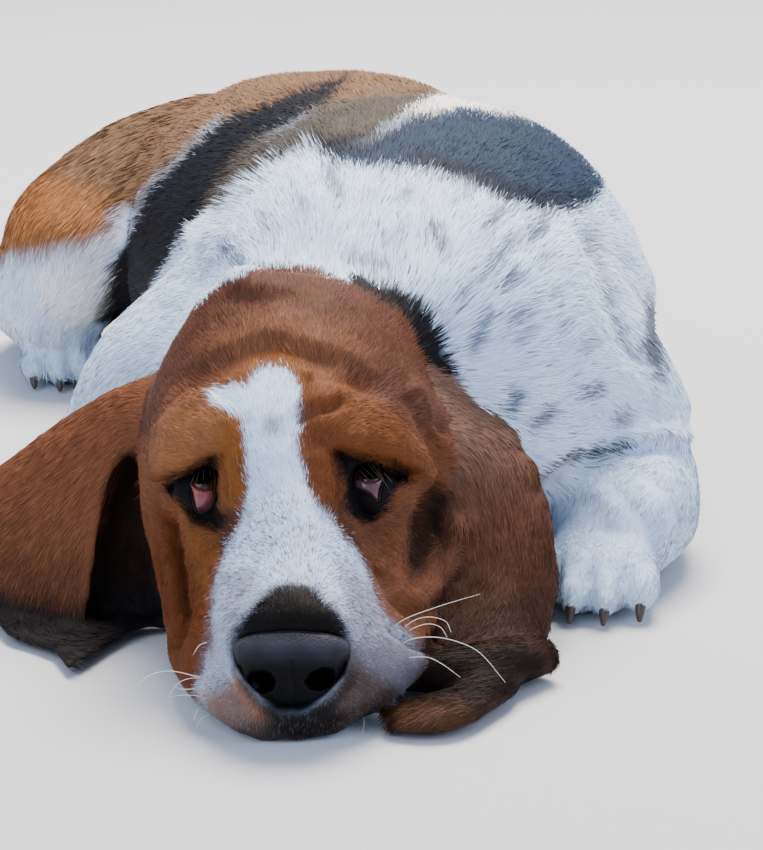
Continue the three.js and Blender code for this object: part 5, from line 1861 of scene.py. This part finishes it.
    def colour(self, piece: bpy.types.Object, place: np.ndarray, normal: np.ndarray,
               label: np.ndarray) -> None:
        """Each tuft takes the marking near its root, a little lighter or darker, with painted shade darkest
        at the root.
        """
        head = label == Part.HEAD.value
        stray = self.random.normal(0, 1, place.shape) * np.where(head, 1.3, 1.6)[:, None]
        tone = self.markings.paint(place + stray, normal, label)
        share = self.markings.roan(place, label)
        dark = self.random.random(len(place)) < share
        dark = dark * rise(tone.min(axis=1), 0.12, 0.3) * self.random.uniform(0.4, 1, len(place))
        pale = head * (self.random.random(len(place)) < 0.25)
        pale = pale * rise(share, 0.3, 0.6) * rise(-tone.max(axis=1), -0.5, -0.25)
        tone = mixed(mixed(tone, Tone.ROAN, dark * head), Tone.TICK, dark * ~head)
        tone = mixed(tone, Tone.WHITE, 0.08 * pale)
        tone = ticked(tone, place, 1 - 0.8 * rise(VIEW.faces(place, normal), -0.05, 0.1))
        pale = rise(tone.min(axis=1), 0.3, 0.6)
        tone *= (1 + (0.16 - 0.08 * pale) * noise(place * [1, 1, 0.5], 5, 33))[:, None]
        spread = 0.15 - 0.07 * pale
        tone *= (1 + spread * self.random.normal(0, 1, len(place)).clip(-2.5, 2.5))[:, None]
        shade = 1 + (self.painted_shading[None, :] - 1) * (1 - 0.55 * pale[:, None])
        rgb = np.clip(tone[:, None] * shade[:, :, None], 0, 0.95)
        give_tone(piece, rgb.reshape(-1, 3))

    def map(self, piece: bpy.types.Object, corner: np.ndarray, triangles: np.ndarray) -> None:
        """The bake map: a patch for each tuft at its root's place on the unrolled skin."""
        spots = np.array([[-0.5, -0.5], [0.5, -0.5], [-0.5, 0], [0.5, 0], [0, 0.5]]) * self.patch
        uv = self.skin.map[corner][:, None] + spots[triangles.ravel()]
        layer = piece.data.uv_layers.new(name="OFBake")
        layer.uv.foreach_set("vector", uv.astype(np.float32).ravel())


def ticked(tone: np.ndarray, place: np.ndarray, hidden: np.ndarray) -> np.ndarray:
    """White hair ticked with blue-grey flecks where noise is high, on the sides that aren't drawn."""
    white = rise(tone.min(axis=1), 0.45, 0.6)
    gather = rise(noise(place, 13, 31) + 0.5 * noise(place, 5, 32), 0.55, 0.9)
    return mixed(tone, Tone.TICK, 0.6 * white * gather * hidden)


class Eyeball:
    """An eye: a ball with its cornea raised, brown iris and dark pupil, seen through a clear gloss."""

    iris = 9.6  # its radius in mm over the ball
    pupil = 4.6
    cornea = 1.3  # how much the cornea stands proud
    colours = ("2E2220", "54301A", "090706")  # of the white in shade, the iris and the pupil

    def __init__(self, eye: Eye) -> None:
        """Takes the eye's place and gaze."""
        self.eye = eye

    def build(self, material: bpy.types.Material) -> None:
        """The ball: rings at angles from the gaze, its radius raised near it by a bell of the angle."""
        ahead = unit(Haw.on_ball(self.eye, *self.eye.gaze, EYE_RADIUS) - self.eye.at)
        side = unit(np.cross(ahead, UP))
        over = np.cross(side, ahead)
        rings, around = 64, 72
        tilt = np.linspace(0.01, math.pi - 0.01, rings)[:, None]
        turn = (np.arange(around) / around * 2 * math.pi)[None]
        radius = EYE_RADIUS - 0.4 - self.cornea + self.cornea * np.exp(-(tilt / 0.55) ** 4)
        out = (np.cos(tilt)[..., None] * ahead + (np.sin(tilt) * np.cos(turn))[..., None] * side
               + (np.sin(tilt) * np.sin(turn))[..., None] * over)
        points, quads, fans = loft(self.eye.at + out * radius[..., None])
        piece = mesh_piece("eyeball_" + self.eye.name, points, [quads, fans])
        outward(piece)
        away = points - self.eye.at
        off = np.arccos(np.clip(unit(away) @ ahead, -1, 1)) * EYE_RADIUS
        white, brown, black = (linear(colour) for colour in self.colours)
        colour = np.tile(white, (len(points), 1))
        iris = brown * (1 + 0.4 * noise(points * 4, 3, 41))[:, None]
        colour = colour + (iris - colour) * rise(-off, -self.iris - 0.6, -self.iris + 0.6)[:, None]
        colour = colour + (black - colour) * rise(-off, -self.pupil - 0.5, -self.pupil + 0.5)[:, None]
        give_tone(piece, np.clip(colour, 0, 1))
        settle(piece, material, "eye", "eye_" + self.eye.name)


def closed_curve(corners: np.ndarray, count: int) -> np.ndarray:
    """Evenly counted points of a smooth closed curve through corners, (count, 2)."""
    looped = np.vstack([corners, corners[:3]])
    return catmull(looped, np.linspace(1, len(corners) + 1, count, endpoint=False))


def outward(piece: bpy.types.Object) -> None:
    """Turns the faces of a closed piece outwards."""
    work = bmesh.new()
    work.from_mesh(piece.data)
    bmesh.ops.recalc_face_normals(work, faces=work.faces)
    work.to_mesh(piece.data)
    work.free()
    piece.data.shade_smooth()


class Haw:
    """The red inner lid that a basset's drooping lower lid lays bare, a shell just over the ball."""

    gap = 0.5
    thickness = 0.9
    rings = 14
    low_colour = "5E2E3A"  # towards the lower lid

    def build(self, eye: Eye, material: bpy.types.Material) -> None:
        """A shell over the haw's outline: a grid in the picture, each point on the ball's near side."""
        corners = np.array(eye.haw, float)
        low, high = corners.min(axis=0) - 1, corners.max(axis=0) + 1
        middle = corners.mean(axis=0)
        turns = len(corners) * 6
        rim = closed_curve(corners, turns)
        share = np.linspace(0.02, 1.06, self.rings)[:, None, None]
        grid = middle + (rim - middle) * share
        flat = grid.reshape(-1, 2)
        bulge = self.gap + 0.8 * (1 - share[:, :, 0] ** 4) * np.ones(turns)
        points = np.array([self.on_ball(eye, x, y, EYE_RADIUS + lift)
                           for (x, y), lift in zip(flat, bulge.ravel())]).reshape(self.rings, turns, 3)
        back = points + VIEW.ahead * self.thickness
        shell, quads, fans = loft(np.concatenate([points, back[::-1]]))
        piece = mesh_piece("haw_" + eye.name, shell, [quads, fans])
        outward(piece)
        high_tone, low_tone = linear(eye.flesh), linear(self.low_colour)
        mix = rise(VIEW.pixels(shell)[:, 1], low[1] + 6, high[1])[:, None]
        colour = high_tone + (low_tone - high_tone) * mix
        colour = colour * (1 + 0.16 * noise(shell, 1.6, 51))[:, None]
        give_tone(piece, np.clip(colour, 0, 1))
        settle(piece, material, "eye")

    @staticmethod
    def on_ball(eye: Eye, x: float, y: float, radius: float) -> np.ndarray:
        """The near point of the ball of this radius at a pixel, or its closest approach."""
        ray = unit(VIEW.point(x, y, 100) - np.array(VIEW.at))
        away = eye.at - np.array(VIEW.at)
        along = away @ ray
        across = away @ away - along ** 2
        return np.array(VIEW.at) + ray * (along - math.sqrt(max(radius ** 2 - across, 4.0)))


class Lid:
    """The moist dark margin of the lids, a soft ring round the opening."""

    lift = 0.7
    radius = 0.6
    around = 10
    colours = ("0C0A0A", "2A2226")  # of its upper and its lower half

    def build(self, eye: Eye, material: bpy.types.Material) -> None:
        """A ring of circles centred on the opening's outline, lying on the ball."""
        corners = np.array(eye.opening, float)
        turns = len(corners) * 8
        middle = np.array([Haw.on_ball(eye, x, y, EYE_RADIUS + self.lift)
                           for x, y in closed_curve(corners, turns)])
        along = unit(np.roll(middle, -1, axis=0) - np.roll(middle, 1, axis=0))
        out = unit(middle - eye.at)
        side = unit(np.cross(along, out))
        angle = np.linspace(0, 2 * math.pi, self.around, endpoint=False)[None, :, None]
        round_it = np.cos(angle) * side[:, None] + np.sin(angle) * out[:, None]
        rings = middle[:, None] + self.radius * round_it
        a = np.arange(turns)[:, None] * self.around
        b = np.roll(a, -1, axis=0)
        c = np.arange(self.around)[None]
        d = (c + 1) % self.around
        quads = np.stack([a + c, b + c, b + d, a + d], axis=-1).reshape(-1, 4)
        points = rings.reshape(-1, 3)
        piece = mesh_piece("lid_" + eye.name, points, [quads])
        outward(piece)
        low = rise(VIEW.pixels(points)[:, 1], corners[:, 1].mean(), corners[:, 1].max())[:, None]
        dark, pale = (linear(colour) for colour in self.colours)
        give_tone(piece, dark + (pale - dark) * low)
        settle(piece, material, "eye")


class Nose:
    """The nose leather: a broad black pad with comma-shaped nostrils and a groove down its middle."""

    nostrils: tuple[Points, ...] = (
        ((248, 680), (252, 674), (262, 672), (271, 675), (275, 682), (272, 689), (262, 693), (252, 690)),
        ((306, 682), (311, 674), (322, 669), (332, 671), (335, 678), (330, 686), (319, 690), (310, 688)),
    )
    slits: tuple[Points, ...] = (
        ((250, 686), (242, 680), (238, 668)),
        ((334, 682), (342, 674), (346, 663)),
    )
    groove: Points = ((292, 662), (293, 684), (296, 712))
    front_rings = 110  # over its rounded front, so that the nostrils are crisp
    colour = "34353B"

    def build(self, material: bpy.types.Material) -> None:
        """The pad along its rows, pressed in where the nostrils and the groove are drawn."""
        tube = Tube([
            [0, 21, 44, 20, 5, 20, 0],
            [0, 10, 43, 26.5, 10, 26, -0.12],
            [0, 1, 42, 25.5, 13, 24, -0.2],
        ], around=260, steps=60, cap_start=3, cap_end=11, power=2.1)
        rings = tube.rings(-0.2)
        front = catmull(rings[-CAP_RINGS - 1:], np.linspace(0, CAP_RINGS, self.front_rings))
        rings = np.concatenate([rings[:-CAP_RINGS - 1], front])
        points, quads, fans = loft(rings)
        piece = mesh_piece("nose_leather", points, [quads, fans])
        outward(piece)
        surface = surface_of(piece.data)
        pixels = VIEW.pixels(points)
        facing = rise(VIEW.faces(points, surface.normals()), 0.1, 0.4)
        deep = np.zeros(len(points))
        for polygon in self.nostrils:
            deep = np.maximum(deep, 15.0 * rise(inside(pixels, polygon), -3.0, 6))
        for line in self.slits:
            deep = np.maximum(deep, 2.6 * np.exp(-(to_line(pixels, line)[0] / 4) ** 2))
        deep = np.maximum(deep, 1.5 * np.exp(-(to_line(pixels, self.groove)[0] / 3.2) ** 2))
        points = surface.smoothed(points + VIEW.ahead * (deep * facing)[:, None], 0.6, 6)
        piece.data.vertices.foreach_set("co", PLACE.metres(points).astype(np.float32).ravel())
        piece.data.update()
        colour = np.tile(linear(self.colour), (len(points), 1))
        # random variation, then painted shade over the lower half, darker along the top edge under the fur,
        # and painted shade inside the nostrils
        for share in (1 + 0.25 * noise(points, 5, 61), 1 - 0.93 * rise(pixels[:, 1], 640, 670),
                      0.4 + 0.6 * rise(pixels[:, 1], 632, 644), 1 - 0.94 * rise(deep, 1.0, 4.0)):
            colour = colour * share[:, None]
        give_tone(piece, np.clip(colour, 0, 1))
        settle(piece, material, "nose_leather", "nose")


def joined(name: str, shells: Sequence[Arrays]) -> bpy.types.Object:
    """One piece from several lofted shells, its faces turned outwards."""
    starts = np.cumsum([0] + [len(points) for points, _, _ in shells])
    quads = np.concatenate([q + start for (_, q, _), start in zip(shells, starts)])
    fans = np.concatenate([f + start for (_, _, f), start in zip(shells, starts)])
    piece = mesh_piece(name, np.concatenate([points for points, _, _ in shells]), [quads, fans])
    outward(piece)
    return piece


class Claws:
    """The claws, a piece for each paw."""

    def build(self, figure: Figure, material: bpy.types.Material) -> None:
        """Each claw along its rows, in dark horn varying at random."""
        for part, paw in figure.paws.items():
            piece = joined("claws_" + part.name.lower(), [loft(tube.rings(0)) for tube in paw.claws()])
            points = PLACE.millimetres(piece_points(piece))
            colour = linear("43372F") * (1 + 0.35 * noise(points, 4, 71))[:, None]
            give_tone(piece, np.clip(colour, 0, 1))
            settle(piece, material, "nose_leather")


@dataclass(frozen=True)
class Whisker:
    """A whisker drawn in the photograph: pixels from root to tip, and how far back both ends lie."""

    line: Points
    back: tuple[float, float]


def bristle(through: Rows, radii: Sequence[float], around: int, steps: int,
            caps: tuple[float, float]) -> Arrays:
    """A thin lofted tube of shrinking rings along a curve through points."""
    rows = [[*point, radius, radius, radius, 0] for point, radius in zip(through, radii)]
    tube = Tube(rows, around=around, steps=steps, cap_start=caps[0], cap_end=caps[1], power=2)
    return loft(tube.rings(0))


class Whiskers:
    """Pale bristles on the lips and lashes over the eyes, tapering from root to tip."""

    thick = 0.24
    lash_radii = (0.12, 0.09, 0.04)
    lips = (
        Whisker(((380, 645), (400, 622), (437, 607), (480, 594)), (50, 20)),
        Whisker(((394, 640), (410, 623), (427, 617), (445, 621), (451, 632)), (52, 34)),
        Whisker(((402, 637), (412, 629), (427, 624), (440, 627), (447, 637)), (52, 36)),
        Whisker(((391, 655), (407, 641), (430, 637), (455, 641), (480, 653), (505, 682)), (46, 4)),
        Whisker(((381, 670), (400, 660), (425, 657), (442, 664), (460, 677)), (44, 14)),
        Whisker(((372, 680), (385, 678), (394, 680)), (38, 30)),
        Whisker(((381, 699), (392, 710), (399, 725)), (30, 14)),
        Whisker(((357, 710), (364, 720), (362, 735)), (26, 12)),
        Whisker(((211, 680), (195, 676), (170, 671), (150, 675), (139, 684)), (24, 0)),
        Whisker(((211, 680), (195, 678), (180, 682), (170, 694)), (24, 6)),
        Whisker(((196, 689), (180, 689), (174, 684)), (22, 10)),
        Whisker(((206, 697), (187, 695), (166, 697)), (22, 6)),
        Whisker(((201, 707), (197, 711), (194, 720)), (20, 8)),
        Whisker(((209, 715), (201, 719), (197, 727)), (18, 8)),
        Whisker(((212, 641), (200, 645), (193, 655)), (26, 18)),
    )

    def build(self, material: bpy.types.Material) -> None:
        """The whiskers as one piece and the lashes as another."""
        shells = []
        for whisker in self.lips:
            back = np.linspace(*whisker.back, len(whisker.line))
            through = [VIEW.point(x, y, b) for (x, y), b in zip(whisker.line, back)]
            radii = self.thick * np.linspace(1, 0.15, len(through)) ** 0.7
            shells.append(bristle(through, radii, 8, 30, (0.5, 0.2)))
        self.place("whiskers", shells, "E6E2DC", material, "coat_white")
        shells = []
        for eye in EYES:
            for *root, x_end, y_end in eye.lashes:
                low = Haw.on_ball(eye, *root, EYE_RADIUS + 1.5)
                high = Haw.on_ball(eye, x_end, y_end, EYE_RADIUS + 3.5)
                middle = (low + high) / 2 - VIEW.ahead * 1.2
                shells.append(bristle((low, middle, high), self.lash_radii, 6, 12, (0.2, 0.1)))
        self.place("lashes", shells, "8A7868", material, "coat_brown")

    @staticmethod
    def place(name: str, shells: Sequence[Arrays], colour: str, material: bpy.types.Material,
              slot: str) -> None:
        """Makes one piece of the bristles, all of one colour."""
        piece = joined(name, shells)
        give_tone(piece, np.tile(linear(colour), (len(piece.data.vertices), 1)))
        settle(piece, material, slot)


class Studio:
    """A plain pale floor and soft light."""

    floor_half = 7.0

    def build(self) -> None:
        """The floor, a broad soft light from behind and above, a weaker one in front, and the world."""
        mesh = bpy.data.meshes.new("studio_floor")
        h = self.floor_half
        mesh.from_pydata([(-h, -h, 0), (h, -h, 0), (h, h, 0), (-h, h, 0)], [], [(0, 1, 2, 3)])
        floor = bpy.data.objects.new("studio_floor", mesh)
        bpy.context.scene.collection.objects.link(floor)
        material = bpy.data.materials.new("studio_floor")
        material.use_nodes = True
        shader = material.node_tree.nodes["Principled BSDF"]
        shader.inputs["Base Color"].default_value = (*linear("C9C8C6"), 1)
        shader.inputs["Roughness"].default_value = 0.9
        mesh.materials.append(material)
        self.light("key_behind", (0.3, 1.1, 2.6), watts=265, size=1.7, colour="FFF4E8")
        self.light("fill_front", (-1.6, -2.4, 2.2), watts=60, size=2.4, colour="E6EEFF")
        self.light("fill_side", (2.4, -1.0, 1.6), watts=32, size=1.6, colour="E0EAFF")
        world = bpy.data.worlds.new("studio")
        world.use_nodes = True
        world.node_tree.nodes["Background"].inputs["Color"].default_value = (*linear("BED5FF"), 1)
        world.node_tree.nodes["Background"].inputs["Strength"].default_value = 0.94
        bpy.context.scene.world = world

    def light(self, name: str, at: tuple[float, float, float], watts: float, size: float,
              colour: str) -> None:
        """A square soft light aimed at the dog."""
        data = bpy.data.lights.new(name, "AREA")
        data.energy = watts
        data.size = size
        data.color = linear(colour)
        lamp = bpy.data.objects.new(name, data)
        aim = Vector((0, 0, 0.1)) - Vector(at)
        lamp.matrix_world = Matrix.Translation(at) @ aim.to_track_quat("-Z", "Y").to_matrix().to_4x4()
        bpy.context.scene.collection.objects.link(lamp)


UNDER_HAIR = 0.8  # the skin's tone under the hair, as a share of the hair's


def main() -> None:
    """Builds the dog, piece by piece."""
    logging.basicConfig(level=logging.INFO, format="%(message)s")
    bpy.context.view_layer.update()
    VIEW.build()
    Studio().build()
    hair = Hair().build()
    figure = Figure()
    markings = Markings()
    skin = Skin(figure).build()
    piece = mesh_piece("skin", skin.points, [skin.triangles])
    tone = markings.paint(skin.points, skin.normal, skin.label)
    give_tone(piece, np.clip(tone * UNDER_HAIR, 0, 1))
    flesh = [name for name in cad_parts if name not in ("eye_left", "eye_right", "nose")]
    settle(piece, hair, "coat_white", *flesh)
    log.info("skin placed")
    coat = Coat(skin, markings, hair)
    for lock in LOCKS:
        coat.build(lock)
        log.info("%s: %d tufts", lock.name, lock.count)
    cornea = Wet("cornea_wet", roughness=0.12, coat=0.35, grain_mm=3.0, relief=0.0, specular=0.25).build()
    haw = Wet("inner_lid_moist", roughness=0.3, coat=0.5, grain_mm=1.2, relief=0.25).build()
    leather = Wet("nose_leather_moist", roughness=0.45, coat=0.02, grain_mm=1.3, relief=0.45,
                  specular=0.09).build()
    horn = Wet("claw_horn", roughness=0.35, coat=0.1, grain_mm=2.0, relief=0.1).build()
    for eye in EYES:
        Eyeball(eye).build(cornea)
        Haw().build(eye, haw)
        Lid().build(eye, leather)
    Nose().build(leather)
    Claws().build(figure, horn)
    Whiskers().build(hair)
    log.info("eyes, nose, claws and whiskers placed")


if __name__ == "__main__":
    main()
